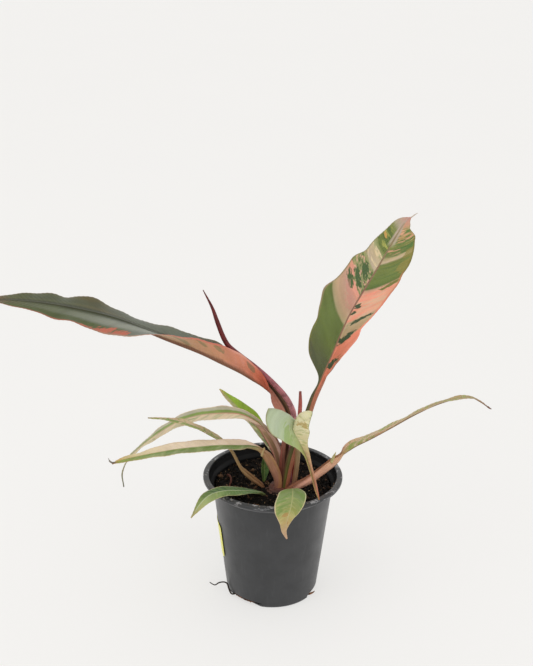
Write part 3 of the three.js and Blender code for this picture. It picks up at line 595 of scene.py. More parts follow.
class Paint:
    """A material with short calls for its nodes. An input takes a number, a colour or a node's output."""

    def __init__(self, name):
        self.material = bpy.data.materials.new(name)
        self.material.use_nodes = True
        self.tree = self.material.node_tree
        self.shader = self.tree.nodes["Principled BSDF"]

    def put(self, socket, value):
        if isinstance(value, bpy.types.NodeSocket):
            self.tree.links.new(value, socket)
        elif socket.type == "RGBA" and isinstance(value, int):
            socket.default_value = linear(value)
        else:
            socket.default_value = value

    def math(self, operation, first, second=0.0):
        node = self.tree.nodes.new("ShaderNodeMath")
        node.operation = operation
        for socket, value in zip(node.inputs, (first, second)):
            self.put(socket, value)
        return node.outputs[0]

    def times(self, first, second):
        return self.math("MULTIPLY", first, second)

    def plus(self, first, second):
        return self.math("ADD", first, second)

    def minus(self, first, second):
        return self.math("SUBTRACT", first, second)

    def over(self, first, second):
        return self.math("DIVIDE", first, second)

    def step(self, value, low, high, to_low=0.0, to_high=1.0):
        """A smooth step from to_low to to_high as value goes from low to high."""
        node = self.tree.nodes.new("ShaderNodeMapRange")
        node.interpolation_type = "SMOOTHSTEP"
        for socket, given in zip(node.inputs, (value, low, high, to_low, to_high)):
            self.put(socket, given)
        return node.outputs[0]

    def window(self, value, low, high, soft):
        """1 where value is from low to high, with soft edges."""
        rise = self.step(value, low - soft, low + soft)
        return self.times(rise, self.step(value, high - soft, high + soft, 1.0, 0.0))

    def mix(self, factor, first, second, blend="MIX"):
        node = self.tree.nodes.new("ShaderNodeMix")
        node.data_type = "RGBA"
        node.blend_type = blend
        self.put(node.inputs[0], factor)
        self.put(node.inputs[6], first)
        self.put(node.inputs[7], second)
        return node.outputs[2]

    def vector(self, x, y=0.0, z=0.0):
        node = self.tree.nodes.new("ShaderNodeCombineXYZ")
        for socket, value in zip(node.inputs, (x, y, z)):
            self.put(socket, value)
        return node.outputs[0]

    def parts(self, vector):
        node = self.tree.nodes.new("ShaderNodeSeparateXYZ")
        self.put(node.inputs[0], vector)
        return node.outputs[0], node.outputs[1], node.outputs[2]

    def map(self, name):
        node = self.tree.nodes.new("ShaderNodeUVMap")
        node.uv_map = name
        return self.parts(node.outputs[0])

    def place(self):
        """Coordinates in the object's own frame, in metres."""
        return self.tree.nodes.new("ShaderNodeTexCoord").outputs["Object"]

    def noise(self, vector, scale, detail=2.0, roughness=0.5, distortion=0.0):
        node = self.tree.nodes.new("ShaderNodeTexNoise")
        self.put(node.inputs["Vector"], vector)
        self.put(node.inputs["Scale"], scale)
        self.put(node.inputs["Detail"], detail)
        self.put(node.inputs["Roughness"], roughness)
        self.put(node.inputs["Distortion"], distortion)
        return node.outputs[0]

    def ramp(self, factor, stops):
        """Colours at positions from 0 to 1."""
        node = self.tree.nodes.new("ShaderNodeValToRGB")
        elements = node.color_ramp.elements
        while len(elements) < len(stops):
            elements.new(0.5)
        for element, (position, colour) in zip(elements, stops):
            element.position = position
            element.color = linear(colour)
        self.put(node.inputs[0], factor)
        return node.outputs[0]

    def bump(self, height, strength, distance):
        node = self.tree.nodes.new("ShaderNodeBump")
        node.inputs["Strength"].default_value = strength
        node.inputs["Distance"].default_value = distance
        self.put(node.inputs["Height"], height)
        return node.outputs[0]

    def finish(self, colour, roughness, normal=None, **sockets):
        """Sets the shader. Sockets are named with low dashes, such as coat_weight."""
        self.put(self.shader.inputs["Base Color"], colour)
        self.put(self.shader.inputs["Roughness"], roughness)
        if normal is not None:
            self.put(self.shader.inputs["Normal"], normal)
        for name, value in sockets.items():
            words = "Specular IOR Level" if name == "specular_level" else name.replace("_", " ").title()
            self.shader.inputs[words].default_value = value
        return self.material


class LeafPaint(Paint):
    """Paint that knows where it is on a leaf: place along its path, share across and the vein it is on.

    A vein is named by its distance from the foot, in centimetres, where it leaves the midrib. The blade
    begins at the place called start.
    """

    def __init__(self, name, leaf, start):
        super().__init__(name)
        self.leaf = leaf
        self.start = start
        self.steps = len(leaf["path"]) - 1
        self.places, self.distances = stations(leaf["path"], 2.0)
        self.at, self.across, _ = self.map("leaf")
        self.distance, self.off, _ = self.map("size")
        self.reach = self.math("ABSOLUTE", self.off)
        self.share = self.math("ABSOLUTE", self.across)
        lean = self.times(self.reach, VEIN_LEAN)
        bend = self.times(self.times(self.reach, self.reach), 10 * VEIN_BEND)
        self.vein = self.minus(self.minus(self.distance, lean), bend)
        self.on_left = self.step(self.across, -0.03, 0.03)
        self.colour = None
        self.seed = 0

    def vein_at(self, place, across=0.0):
        """The vein through a place and share across."""
        side = "left" if across > 0 else "right"
        half = along(self.leaf.get(side, [2.0]), [place], self.steps + 1)[0, 0]
        reach = abs(across) * half / 10
        distance = float(np.interp(place, self.places, self.distances)) / 10
        return distance - VEIN_LEAN * reach - 10 * VEIN_BEND * reach**2

    def grain(self, fine, long):
        """Noise in streaks along the veins: how many to a centimetre across them and along them."""
        self.seed += 1
        across_veins = self.times(self.vein, fine)
        along_veins = self.times(self.off, long)
        return self.noise(self.vector(across_veins, along_veins, self.seed * 3.7), 1.0, 2.5, 0.55)

    def wander(self, fine, long, size):
        """The same noise, from -size to size."""
        return self.times(self.minus(self.grain(fine, long), 0.5), 3 * size)

    def tones(self, stops):
        """Colours at places along the path."""
        return self.ramp(self.over(self.at, self.steps), [(p / self.steps, c) for p, c in stops])

    def runs(self, left, right=None, ragged=0.12):
        """Colours of the veins on each half, by the place where a vein leaves the midrib."""
        longest = self.distances[-1] / 10
        vein = self.plus(self.vein, self.wander(1.6, 0.5, ragged))
        vein = self.plus(vein, self.wander(5.0, 1.5, 0.4 * ragged))
        spot = self.over(vein, longest)
        self.colour = self.ramp(spot, [(self.vein_at(p) / longest, c) for p, c in left])
        if right:
            other = self.ramp(spot, [(self.vein_at(p) / longest, c) for p, c in right])
            self.colour = self.mix(self.on_left, other, self.colour)

    def lay(self, mask, colour):
        self.colour = self.mix(mask, self.colour, colour)

    def streaks(self, colour, amount, start, end, side=0, fine=2.6, long=0.5, hard=0.04, strength=1.0):
        """Streaks along the veins over a share of the veins from one place to another."""
        edge = 0.5 + (0.5 - amount) * 0.4
        mask = self.step(self.grain(fine, long), edge - hard, edge + hard, 0.0, strength)
        mask = self.times(mask, self.window(self.vein, self.vein_at(start), self.vein_at(end), 0.15))
        if side:
            on_side = self.step(self.times(self.across, side), -0.04, 0.04)
            mask = self.times(mask, on_side)
        self.lay(mask, colour)

    def blots(self, colour, spots, ragged=0.9, fine=6.0, strength=1.0):
        """Blotches with ragged edges.

        A spot is a place, a share across, its reach across the veins in centimetres, and its reach along
        them in shares of the half-width.
        """
        nearest = None
        for place, across, wide, long in spots:
            x = self.over(self.minus(self.vein, self.vein_at(place, across)), wide)
            y = self.over(self.minus(self.across, across), long)
            size = self.plus(self.times(x, x), self.times(y, y))
            nearest = size if nearest is None else self.math("MINIMUM", nearest, size)
        size = self.plus(self.math("SQRT", nearest), self.wander(fine, 0.45 * fine, ragged))
        self.lay(self.step(size, 0.88, 1.08, strength, 0.0), colour)

    def band(self, value, low, high, stops, soft=0.05, wavy=0.0, strength=1.0):
        """A long band where value is from low to high, in the colours of the stops along the path."""
        if wavy:
            value = self.plus(value, self.wander(1.2, 0.3, wavy))
        mask = self.window(value, low, high, soft)
        mask = self.times(mask, self.window(self.at, stops[0][0], stops[-1][0], 0.2))
        self.lay(self.times(mask, strength), self.tones(stops))

    def margin(self, stops, width=0.05, soft=0.03, side=0):
        value = self.times(self.across, side) if side else self.share
        self.band(value, 1 - width, 2, stops, soft, 0.4 * width)

    def midrib(self, stops, width=0.9):
        """A line along the midrib, width in millimetres from its middle."""
        self.band(self.reach, -1, width / 10, stops, 0.3 * width / 10)

    def leafy(self, roughness=0.42, veins=0xFFFFFF, vein_strength=0.12, bump=0.35):
        """Adds fine veins, the petiole's ridges, speckle and relief, and finishes the material."""
        on_blade = self.step(self.at, self.start, self.start + 1.0)
        wave = self.math("SINE", self.times(self.vein, 2 * math.pi * 10 / (VEIN_SPACING / FINE_VEINS)))
        line = self.times(self.step(wave, 0.55, 1.0), on_blade)
        self.lay(self.times(line, vein_strength), veins)
        ridges = self.vector(self.times(self.distance, 0.35), self.times(self.off, 16.0))
        ridge = self.times(self.noise(ridges, 1.0, 3.0), self.minus(1.0, on_blade))
        self.colour = self.mix(self.step(ridge, 0.4, 0.65, 0.0, 0.25), self.colour, 0x7E5A48, "MULTIPLY")
        fleck = self.noise(self.place(), 1500.0, 3.0, 0.6)
        self.colour = self.mix(self.step(fleck, 0.3, 0.7, 0.0, 0.1), self.colour, 0x2B2418, "MULTIPLY")
        broad = self.step(self.grain(0.9, 0.5), 0.35, 0.7, 0.0, 0.16)
        self.colour = self.mix(broad, self.colour, 0x6F6A50, "MULTIPLY")
        height = self.plus(self.minus(self.times(fleck, 0.5), line), ridge)
        return self.finish(
            self.colour,
            self.step(fleck, 0.3, 0.7, roughness - 0.06, roughness + 0.08),
            self.bump(height, bump, 0.00012),
            subsurface_weight=0.1,
            subsurface_radius=(0.9, 0.7, 0.3),
            subsurface_scale=0.0012,
            specular_level=0.22,
        )


def arc(radius, height, size, start, end, steps=6):
    """Points of radius and height on part of a circle, angles in degrees from outwards."""
    angles = np.radians(np.linspace(start, end, steps + 1))
    return [(radius + size * math.cos(a), height + size * math.sin(a)) for a in angles]


def body_radius(height):
    """Radius of the pot's outer wall at a height below the shoulder."""
    return BASE_RADIUS + (BODY_TOP_RADIUS - BASE_RADIUS) * height / (POT_HEIGHT - SHOULDER_DROP)


def pot_profile():
    """Around the pot's section: out along the floor, up the outside, over the lip and down the inside."""
    shoulder = POT_HEIGHT - SHOULDER_DROP
    collar = POT_HEIGHT - COLLAR_DROP
    under_lip = POT_HEIGHT - LIP_BAND
    lip_turn = POT_HEIGHT - LIP_ROUND
    outside = [(0, 0), (20, 0)] + arc(body_radius(CORNER) - CORNER, CORNER, CORNER, -90, 0)
    outside += [(body_radius(shoulder * share), shoulder * share) for share in (0.25, 0.5, 0.75)]
    outside += [(BODY_TOP_RADIUS, shoulder), (BODY_TOP_RADIUS + 0.5, shoulder + 0.15)]
    outside += [(BODY_TOP_RADIUS + 2.3, collar - 0.5), (BODY_TOP_RADIUS + 2.7, collar + 0.2)]
    outside += [(BODY_TOP_RADIUS + 3.5, under_lip - 0.6), (BODY_TOP_RADIUS + 3.9, under_lip - 0.2)]
    outside += arc(RIM_RADIUS - 0.9, under_lip + 0.9, 0.9, -90, 0, 4)
    lip = arc(RIM_RADIUS - LIP_ROUND, lip_turn, LIP_ROUND, 0, 90)
    lip += [((RIM_RADIUS + LIP_INNER_RADIUS) / 2, POT_HEIGHT + 0.12)]
    lip += arc(LIP_INNER_RADIUS + LIP_ROUND, lip_turn, LIP_ROUND, 90, 180)
    inside = [(BODY_TOP_RADIUS + 1.5, collar + 0.3), (BODY_TOP_RADIUS + 1.2, collar - 0.3)]
    inside += [(BODY_TOP_RADIUS - WALL + 0.2, shoulder - 0.2), (BODY_TOP_RADIUS - WALL, shoulder - 0.9)]
    inside += [(body_radius(CORNER) - WALL, CORNER), (BASE_RADIUS - CORNER - WALL, WALL), (0, WALL)]
    return outside + lip + inside


def lathe_mesh(name, profile, sides):
    """A closed turned solid. The profile's first and last points are on the axis."""
    points = [(0, 0, profile[0][1] * MM)]
    for radius, height in profile[1:-1]:
        for side in range(sides):
            angle = 2 * math.pi * side / sides
            points.append((radius * math.cos(angle) * MM, radius * math.sin(angle) * MM, height * MM))
    points.append((0, 0, profile[-1][1] * MM))
    last = len(points) - 1
    faces = ring_faces(len(profile) - 2, sides, 1)
    for side in range(sides):
        after = (side + 1) % sides
        faces.append((0, 1 + after, 1 + side))
        faces.append((last - sides + side, last - sides + after, last))
    return mesh_object(name, points, faces)


def notch_cutter(bearing):
    """An arched cutter that runs outwards through the wall and the edge of the floor."""
    steps = 32
    outline = [(-NOTCH_WIDTH / 2, -1), (NOTCH_WIDTH / 2, -1)]
    for step in range(steps + 1):
        angle = math.pi * step / steps
        across = math.copysign(abs(math.cos(angle)) ** NOTCH_SQUARE, math.cos(angle))
        outline.append((NOTCH_WIDTH / 2 * across, NOTCH_HEIGHT * abs(math.sin(angle)) ** NOTCH_SQUARE))
    inner = BASE_RADIUS - NOTCH_DEPTH
    count = len(outline)
    points = [(x, out, z) for out in (inner, inner + 3 * NOTCH_DEPTH) for x, z in outline]
    faces = [tuple(range(count))[::-1], tuple(range(count, 2 * count))]
    faces += [(i, (i + 1) % count, count + (i + 1) % count, count + i) for i in range(count)]
    cutter = mesh_object("notch_cutter", [Vector(p) * MM for p in points], faces)
    cutter.data.transform(Matrix.Rotation(math.radians(bearing - 90), 4, "Z"))
    mend = bmesh.new()
    mend.from_mesh(cutter.data)
    bmesh.ops.recalc_face_normals(mend, faces=mend.faces)
    mend.to_mesh(cutter.data)
    mend.free()
    return cutter


def apply_modifiers(piece):
    """Bakes a piece's modifiers into its mesh."""
    graph = bpy.context.evaluated_depsgraph_get()
    mesh = bpy.data.meshes.new_from_object(piece.evaluated_get(graph))
    piece.modifiers.clear()
    piece.data = mesh


def make_pot():
    pot = lathe_mesh("nursery_pot", pot_profile(), POT_SIDES)
    cutters = [notch_cutter(bearing) for bearing in NOTCH_BEARINGS]
    for cutter in cutters:
        cut = pot.modifiers.new("notch", "BOOLEAN")
        cut.operation = "DIFFERENCE"
        cut.solver = "EXACT"
        cut.object = cutter
    apply_modifiers(pot)
    for cutter in cutters:
        bpy.data.objects.remove(cutter)
    pot.data.shade_smooth()
    pot.data.set_sharp_from_angle(angle=math.radians(38))
    return pot


def soil_height(x, y):
    """Height of the soil's top, in millimetres: low lumps with finer ones on them."""
    broad = math.sin(x / 9 + 1.3) * math.cos(y / 7.5)
    fine = math.sin(x / 4.1 - y / 5.3) * math.cos(y / 3.7 + x / 6.1)
    rough = noise.fractal(Vector((x, y, 3.0)) * 0.22, 0.6, 2.1, 4)
    return SOIL_LEVEL + SOIL_BUMP * (0.6 * broad + 0.4 * fine) + 1.1 * rough


def make_soil():
    """The root ball, with a lumpy top and a rough side that shows in the notches."""
    sides = 160
    top_rings = 48
    inset = WALL + 1.3 * GAP
    bottom = WALL + GAP
    top_radius = body_radius(SOIL_LEVEL - 2) - inset - 0.6
    rings = [(body_radius(0) - CORNER - inset, bottom), (body_radius(CORNER) - inset, CORNER + 1.5)]
    for height in (5, 7, 9, 11, 14, 40, 70, SOIL_LEVEL - 6, SOIL_LEVEL - 3):
        rings.append((body_radius(height) - inset, height))
    rings += [(top_radius * (1 - step / top_rings), None) for step in range(top_rings)]
    points = []
    for radius, height in rings:
        for side in range(sides):
            angle = 2 * math.pi * side / sides
            x = radius * math.cos(angle)
            y = radius * math.sin(angle)
            if height is None:
                points.append((x, y, soil_height(x, y)))
            else:
                dent = 1 - 0.012 * abs(noise.noise(Vector((x, y, height)) * 0.6))
                points.append((x * dent, y * dent, height))
    points = [Vector(p) * MM for p in points]
    faces = ring_faces(len(rings), sides)
    last = (len(rings) - 1) * sides
    faces.append(tuple(range(sides))[::-1])
    faces.append(tuple(range(last, last + sides)))
    return mesh_object("potting_soil", points, faces)


def ball(subdivisions):
    """Points and faces of a ball of radius 1."""
    mesh = bmesh.new()
    bmesh.ops.create_icosphere(mesh, subdivisions=subdivisions, radius=1.0)
    mesh.verts.ensure_lookup_table()
    points = np.array([v.co for v in mesh.verts])
    faces = np.array([[v.index for v in f.verts] for f in mesh.faces])
    mesh.free()
    return points, faces


def random_turn(rng):
    """A random turn in space."""
    w, x, y, z = unit(rng.normal(size=4))
    return np.array(
        [
            [1 - 2 * (y * y + z * z), 2 * (x * y - w * z), 2 * (x * z + w * y)],
            [2 * (x * y + w * z), 1 - 2 * (x * x + z * z), 2 * (y * z - w * x)],
            [2 * (x * z - w * y), 2 * (y * z + w * x), 1 - 2 * (x * x + y * y)],
        ]
    )


def crumbs(name, places, sizes, rng, subdivisions=1, longer=1.0):
    """Many rough lumps in one mesh. Places and sizes are in millimetres."""
    base, base_faces = ball(subdivisions)
    points = []
    faces = []
    for place, size in zip(places, sizes):
        shape = np.array([longer * rng.uniform(0.9, 1.5), rng.uniform(0.7, 1.1), rng.uniform(0.5, 0.9)])
        lump = base * rng.uniform(0.78, 1.2, (len(base), 1)) * shape
        faces.append(base_faces + len(base) * len(points))
        points.append(lump @ random_turn(rng).T * size + place)
    joined = np.concatenate(points) * MM
    made = mesh_object(name, joined, np.concatenate(faces).tolist())
    made.data.polygons.foreach_set("use_smooth", [False] * len(made.data.polygons))
    return made


def scattered(rng, count, reach):
    """Even random places over the soil's top."""
    radius = reach * np.sqrt(rng.uniform(0, 1, count))
    angle = rng.uniform(0, 2 * math.pi, count)
    x = radius * np.cos(angle)
    y = radius * np.sin(angle)
    return np.stack([x, y, [soil_height(a, b) for a, b in zip(x, y)]], 1)


def make_crumbs():
    rng = np.random.default_rng(SEED)
    reach = body_radius(SOIL_LEVEL) - WALL - 1.5
    places = scattered(rng, PEAT_COUNT, reach)
    sizes = 0.45 + 1.1 * rng.uniform(0, 1, len(places)) ** 2.5
    peat = crumbs("peat_crumbs", places + [0, 0, 0.2], sizes, rng)
    places = scattered(rng, BARK_COUNT, reach)
    sizes = 1.0 + 1.3 * rng.uniform(0, 1, len(places)) ** 2
    bark = crumbs("bark_chips", places + [0, 0, 0.4], sizes, rng, 2, 1.3)
    places = scattered(rng, FLECK_COUNT, reach)
    sizes = 0.22 + 0.55 * rng.uniform(0, 1, len(places)) ** 2
    flecks = crumbs("pale_flecks", places + [0, 0, 0.7], sizes, rng, 1, 1.8)
    return peat, bark, flecks


def make_rim_dirt():
    """Sandy crumbs caught on the inside of the rim at the front right, and a few crumbs on the lip."""
    rng = np.random.default_rng(SEED + 1)
    angle = np.radians(rng.normal(-38, 13, RIM_COUNT))
    radius = rng.normal(LIP_INNER_RADIUS - 0.6, 0.7, RIM_COUNT)
    height = POT_HEIGHT - 2.5 + 1.3 * (radius - LIP_INNER_RADIUS)
    places = np.stack([radius * np.cos(angle), radius * np.sin(angle), height], 1)
    angle = np.radians(rng.uniform(0, 360, LIP_COUNT))
    radius = rng.uniform(LIP_INNER_RADIUS + 0.4, RIM_RADIUS - 1, LIP_COUNT)
    height = np.full(LIP_COUNT, POT_HEIGHT + 0.15)
    on_lip = np.stack([radius * np.cos(angle), radius * np.sin(angle), height], 1)
    sizes = np.concatenate([rng.uniform(0.3, 1.0, RIM_COUNT), rng.uniform(0.12, 0.4, LIP_COUNT)])
    return crumbs("rim_dirt", np.concatenate([places, on_lip]), sizes, rng)


def make_crown():
    """The short scarred stem that the petioles stand on, with a few stubs of roots."""
    points, faces = ball(6)
    size = np.array([CROWN["along"], CROWN["across"], CROWN["up"]])
    rough = np.array([noise.fractal(Vector(p) * 3.0, 0.7, 2.0, 4) for p in points])
    scars = 0.04 * np.sin(26 * points[:, 2] + 2 * points[:, 0])
    grown = points * size * (1 + 0.08 * rough + scars)[:, None]
    placed = grown + [CROWN["x"], CROWN["y"], CROWN["z"]]
    crown = mesh_object("stem_base", placed * MM, faces.tolist())
    stubs = [
        tube_mesh("stub", [[14, -14, 96], [15, -17, 99], [16, -21, 97]], [1.4, 1.1, 0.6], 12, 0.5),
        tube_mesh("stub", [[-1, -7, 98], [-5, -8, 100.5], [-9, -10, 97]], [1.3, 1.0, 0.6], 12, 0.5),
        tube_mesh("stub", [[20, 2, 97], [25, 3, 99.5], [29, 5, 97]], [1.3, 1.0, 0.6], 12, 0.5),
    ]
    return join([crown] + stubs, "stem_base")


def make_sticker():
    """A thin plain label with rounded corners that follows the pot's slope."""
    columns = 40
    rows = 24
    corner = STICKER["corner"]
    turn = STICKER["to"] - STICKER["from"]
    points = []
    for row in range(rows + 1):
        height = STICKER["low"] + (STICKER["high"] - STICKER["low"]) * row / rows
        edge = min(height - STICKER["low"], STICKER["high"] - height)
        cut = 0 if edge >= corner else corner - math.sqrt(corner**2 - (corner - edge) ** 2)
        radius = body_radius(height)
        trim = math.degrees(cut / radius)
        for column in range(columns + 1):
            share = column / columns
            bearing = math.radians(STICKER["from"] + trim + (turn - 2 * trim) * share)
            lifted = radius + GAP + STICKER_LIFT * max(0.0, share - LIFT_FROM) / LIFT_SPAN
            points.append((lifted * math.cos(bearing), lifted * math.sin(bearing), height))
    faces = []
    for row in range(rows):
        for column in range(columns):
            a = row * (columns + 1) + column
            faces.append((a, a + 1, a + columns + 2, a + columns + 1))
    label = mesh_object("plain_label", [Vector(p) * MM for p in points], faces)
    thick = label.modifiers.new("thickness", "SOLIDIFY")
    thick.thickness = STICKER["thick"] * MM
    thick.offset = 1.0
    apply_modifiers(label)
    return label


def notch_top(angle):
    """Height of a notch's arch at an angle in radians from its middle, in millimetres."""
    share = min(1.0, abs(BASE_RADIUS * math.sin(angle)) / (NOTCH_WIDTH / 2))
    power = 2 / NOTCH_SQUARE
    return NOTCH_HEIGHT * (1 - share**power) ** (1 / power)


def make_notch_roots():
    """Brown roots that bulge out of the front left notch, and the end of one in the right notch."""
    rng = np.random.default_rng(SEED + 2)
    left, right = [math.radians(bearing) for bearing in NOTCH_BEARINGS[1:]]
    right_end = [(-0.4, 37.6, 1.6), (-0.36, 39.2, 2.0), (-0.33, 41, 3.0), (-0.3, 42.6, 4.4)]
    steps = 5
    tubes = []
    for _ in range(NOTCH_ROOTS):
        start = rng.uniform(-0.36, 0.16)
        reach = rng.uniform(0.1, 0.24)
        share = rng.uniform(0.62, 0.9)
        depth = rng.uniform(-2.2, -0.5)
        path = []
        for step in range(steps + 1):
            angle = start + reach * step / steps
            radius = BASE_RADIUS + depth + rng.uniform(-0.3, 0.4)
            height = max(0.9, notch_top(angle) * share + rng.uniform(-0.5, 0.3))
            path.append([radius * math.cos(left + angle), radius * math.sin(left + angle), height])
        size = rng.uniform(0.25, 0.55)
        tubes.append(tube_mesh("root", path, [size, size * 0.9, size * 0.5], 10, 0.6))
    path = []
    for angle, radius, height in right_end:
        path.append([radius * math.cos(right + angle), radius * math.sin(right + angle), height])
    tubes.append(tube_mesh("root", path, [0.8, 0.9, 0.7, 0.2], 12, 0.4))
    return join(tubes, "notch_roots")


def make_notch_soil():
    """Dark crumbs between the roots in the front left notch."""
    rng = np.random.default_rng(SEED + 3)
    angle = rng.uniform(-0.4, 0.4, NOTCH_CRUMBS)
    radius = BASE_RADIUS - rng.uniform(0.8, 3.0, len(angle))
    height = np.array([notch_top(a) for a in angle]) * rng.uniform(0.5, 1.0, len(angle)) + 0.3
    turn = angle + math.radians(NOTCH_BEARINGS[1])
    places = np.stack([radius * np.cos(turn), radius * np.sin(turn), height], 1)
    return crumbs("notch_soil", places, rng.uniform(0.3, 0.7, len(angle)), rng, 1, 1.2)


def make_floor():
    floor = mesh_object("floor", [(-9, -9, 0), (9, -9, 0), (9, 9, 0), (-9, 9, 0)], [(0, 1, 2, 3)])
    paint = Paint("pale_floor")
    grain = paint.noise(paint.place(), 3.0, 2.0)
    paint.put(paint.shader.inputs["Emission Color"], 0xF6F5F3)
    colour = paint.mix(grain, 0x8C8B8A, 0x8E8D8C)
    floor.data.materials.append(paint.finish(colour, 0.9, specular_level=0.1, emission_strength=0.68))


def make_camera():
    data = bpy.data.cameras.new("camera")
    data.lens = CAMERA_LENS
    camera = bpy.data.objects.new("camera", data)
    bpy.context.scene.collection.objects.link(camera)
    camera.location = CAMERA_PLACE
    tip = Matrix.Rotation(math.radians(90 - CAMERA_DOWN_DEG), 3, "X")
    camera.rotation_euler = (tip @ Matrix.Rotation(math.radians(CAMERA_ROLL_DEG), 3, "Z")).to_euler()
    bpy.context.scene.camera = camera


def area_light(name, place, target, size, power):
    data = bpy.data.lights.new(name, "AREA")
    data.shape = "DISK"
    data.size = size
    data.energy = power
    light = bpy.data.objects.new(name, data)
    bpy.context.scene.collection.objects.link(light)
    light.location = place
    light.rotation_mode = "QUATERNION"
    light.rotation_quaternion = (Vector(target) - Vector(place)).to_track_quat("-Z", "Y")


def make_light():
    world = bpy.data.worlds.new("studio")
    world.use_nodes = True
    world.node_tree.nodes["Background"].inputs["Color"].default_value = linear(0xF7F6F4)
    world.node_tree.nodes["Background"].inputs["Strength"].default_value = 1.0
    bpy.context.scene.world = world
    area_light("key", (-0.9, -0.9, 1.7), (0, 0, 0.15), 1.3, 6)
    area_light("fill", (1.3, -1.1, 1.0), (0, 0, 0.15), 1.2, 2)
    bpy.context.scene.view_settings.view_transform = "Standard"


def paint_pot():
    paint = Paint("pot_plastic")
    place = paint.place()
    x, y, z = paint.parts(place)
    mottle = paint.noise(place, 60.0, 4.0, 0.6)
    colour = paint.mix(paint.step(mottle, 0.3, 0.7), 0x2B2C2E, 0x333436)
    # Painted reflection: the pot's left and right sides are painted lighter, standing in for the bright
    # studio they reflect.
    side = paint.math("ABSOLUTE", x)
    colour = paint.mix(paint.step(side, 0.03, 0.05, 0.0, 0.35), colour, 0x6A6A6C)
    stretched = paint.vector(paint.times(x, 9.0), paint.times(y, 9.0), z)
    streaked = paint.noise(stretched, 40.0, 3.0)
    colour = paint.mix(paint.step(streaked, 0.55, 0.8, 0.0, 0.16), colour, 0x57585A)
    # Painted light: the collar under the lip is painted lighter, to lift the shade that the lip casts on it.
    collar = paint.window(z, (POT_HEIGHT - SHOULDER_DROP) * MM, (POT_HEIGHT - LIP_BAND) * MM, 0.5 * MM)
    colour = paint.mix(paint.times(collar, 0.3), colour, 0x5A5A5D)
    high = paint.step(z, (POT_HEIGHT - 5) * MM, (POT_HEIGHT + 0.2) * MM)
    colour = paint.mix(paint.times(high, 0.6), colour, 0x1E1F21)
    # Light marks on the lip: partly scuffs, partly painted highlights where the lip's edge catches the
    # light.
    scuff_and_glint = paint.noise(paint.vector(x, y, paint.times(z, 4.0)), 150.0, 4.0, 0.7)
    wear_and_glint = paint.times(paint.step(scuff_and_glint, 0.55, 0.64), high)
    colour = paint.mix(paint.times(wear_and_glint, 0.8), colour, 0xA8A8AA)
    dust = paint.times(paint.step(paint.noise(place, 35.0, 3.0), 0.5, 0.75), high)
    colour = paint.mix(paint.times(dust, 0.3), colour, 0x6B5A48)
    # Painted highlights: broken light lines along the step under the lip and along the collar's edge.
    for height, size in ((POT_HEIGHT - LIP_BAND - 0.3, 0.5), (POT_HEIGHT - COLLAR_DROP + 0.1, 0.45)):
        near = paint.math("ABSOLUTE", paint.minus(z, height * MM))
        line = paint.step(near, 0.2 * size * MM, size * MM, 1.0, 0.0)
        gaps = paint.step(paint.noise(paint.vector(x, y), 90.0, 3.0), 0.38, 0.6, 0.25, 0.8)
        colour = paint.mix(paint.times(line, gaps), colour, 0x6E6E70)
    # Painted shade: the inner face of the wall is painted near-black, for the shade inside the pot.
    radius = paint.math("SQRT", paint.plus(paint.times(x, x), paint.times(y, y)))
    facing_x, facing_y, _ = paint.parts(paint.tree.nodes.new("ShaderNodeNewGeometry").outputs["Normal"])
    outward = paint.plus(paint.times(facing_x, x), paint.times(facing_y, y))
    inside = paint.step(paint.over(outward, radius), -0.6, -0.2, 1.0, 0.0)
    colour = paint.mix(paint.times(inside, 0.9), colour, 0x0C0C0D)
    fine = paint.noise(place, 2600.0, 2.0)
    gloss = paint.step(paint.noise(place, 45.0, 4.0, 0.65), 0.3, 0.7, 0.34, 0.46)
    paint.put(paint.shader.inputs["Specular IOR Level"], paint.step(inside, 0.1, 0.9, 0.5, 0.12))
    return paint.finish(colour, gloss, paint.bump(fine, 0.12, 0.0001))


def paint_soil(name, tones, by_piece=True):
    """Soil in one colour for each crumb, or in a fine grain."""
    paint = Paint(name)
    place = paint.place()
    if by_piece:
        own = paint.tree.nodes.new("ShaderNodeNewGeometry").outputs["Random Per Island"]
        fine = paint.times(paint.noise(place, 400.0, 4.0), 0.3)
        spot = paint.plus(paint.times(own, 0.75), fine)
    else:
        spot = paint.step(paint.noise(place, 900.0, 5.0, 0.7), 0.3, 0.75)
    rough = paint.noise(place, 1800.0, 5.0, 0.7)
    return paint.finish(paint.ramp(spot, tones), 0.92, paint.bump(rough, 0.7, 0.0006), specular_level=0.2)


def paint_sticker():
    paint = Paint("sticker_film")
    speck = paint.noise(paint.place(), 300.0, 3.0)
    colour = paint.mix(paint.step(speck, 0.35, 0.7), 0xE9E43F, 0xDCD832)
    return paint.finish(colour, 0.35, paint.bump(speck, 0.1, 0.0001), coat_weight=0.2)


def paint_bark(name, dark, light, scale=500.0, roughness=0.8):
    paint = Paint(name)
    place = paint.place()
    grain = paint.noise(place, scale, 5.0, 0.65)
    colour = paint.mix(paint.step(grain, 0.3, 0.7), dark, light)
    return paint.finish(colour, roughness, paint.bump(grain, 0.6, 0.0004), specular_level=0.3)


def paint_crown():
    paint = Paint("stem_base")
    place = paint.place()
    _, _, z = paint.parts(place)
    broad = paint.noise(place, 160.0, 4.0, 0.6)
    rings = paint.noise(paint.vector(0.0, 0.0, paint.plus(z, paint.times(broad, 0.002))), 900.0, 2.0)
    colour = paint.mix(paint.step(broad, 0.35, 0.65), 0x33201A, 0x64402E)
    colour = paint.mix(paint.step(rings, 0.5, 0.62, 0.0, 0.6), colour, 0x2F1A12)
    high = paint.step(z, 0.1005, 0.1035)
    colour = paint.mix(paint.times(high, 0.35), colour, 0x8A4636)
    fine = paint.noise(place, 900.0, 4.0, 0.6)
    return paint.finish(colour, 0.6, paint.bump(paint.plus(fine, rings), 0.6, 0.0005))


def both_sides(name, start):
    """Paints for a leaf's upper side and underside."""
    leaf = LEAVES[name]
    return LeafPaint(name + "_upper", leaf, start), LeafPaint(name + "_under", leaf, start)


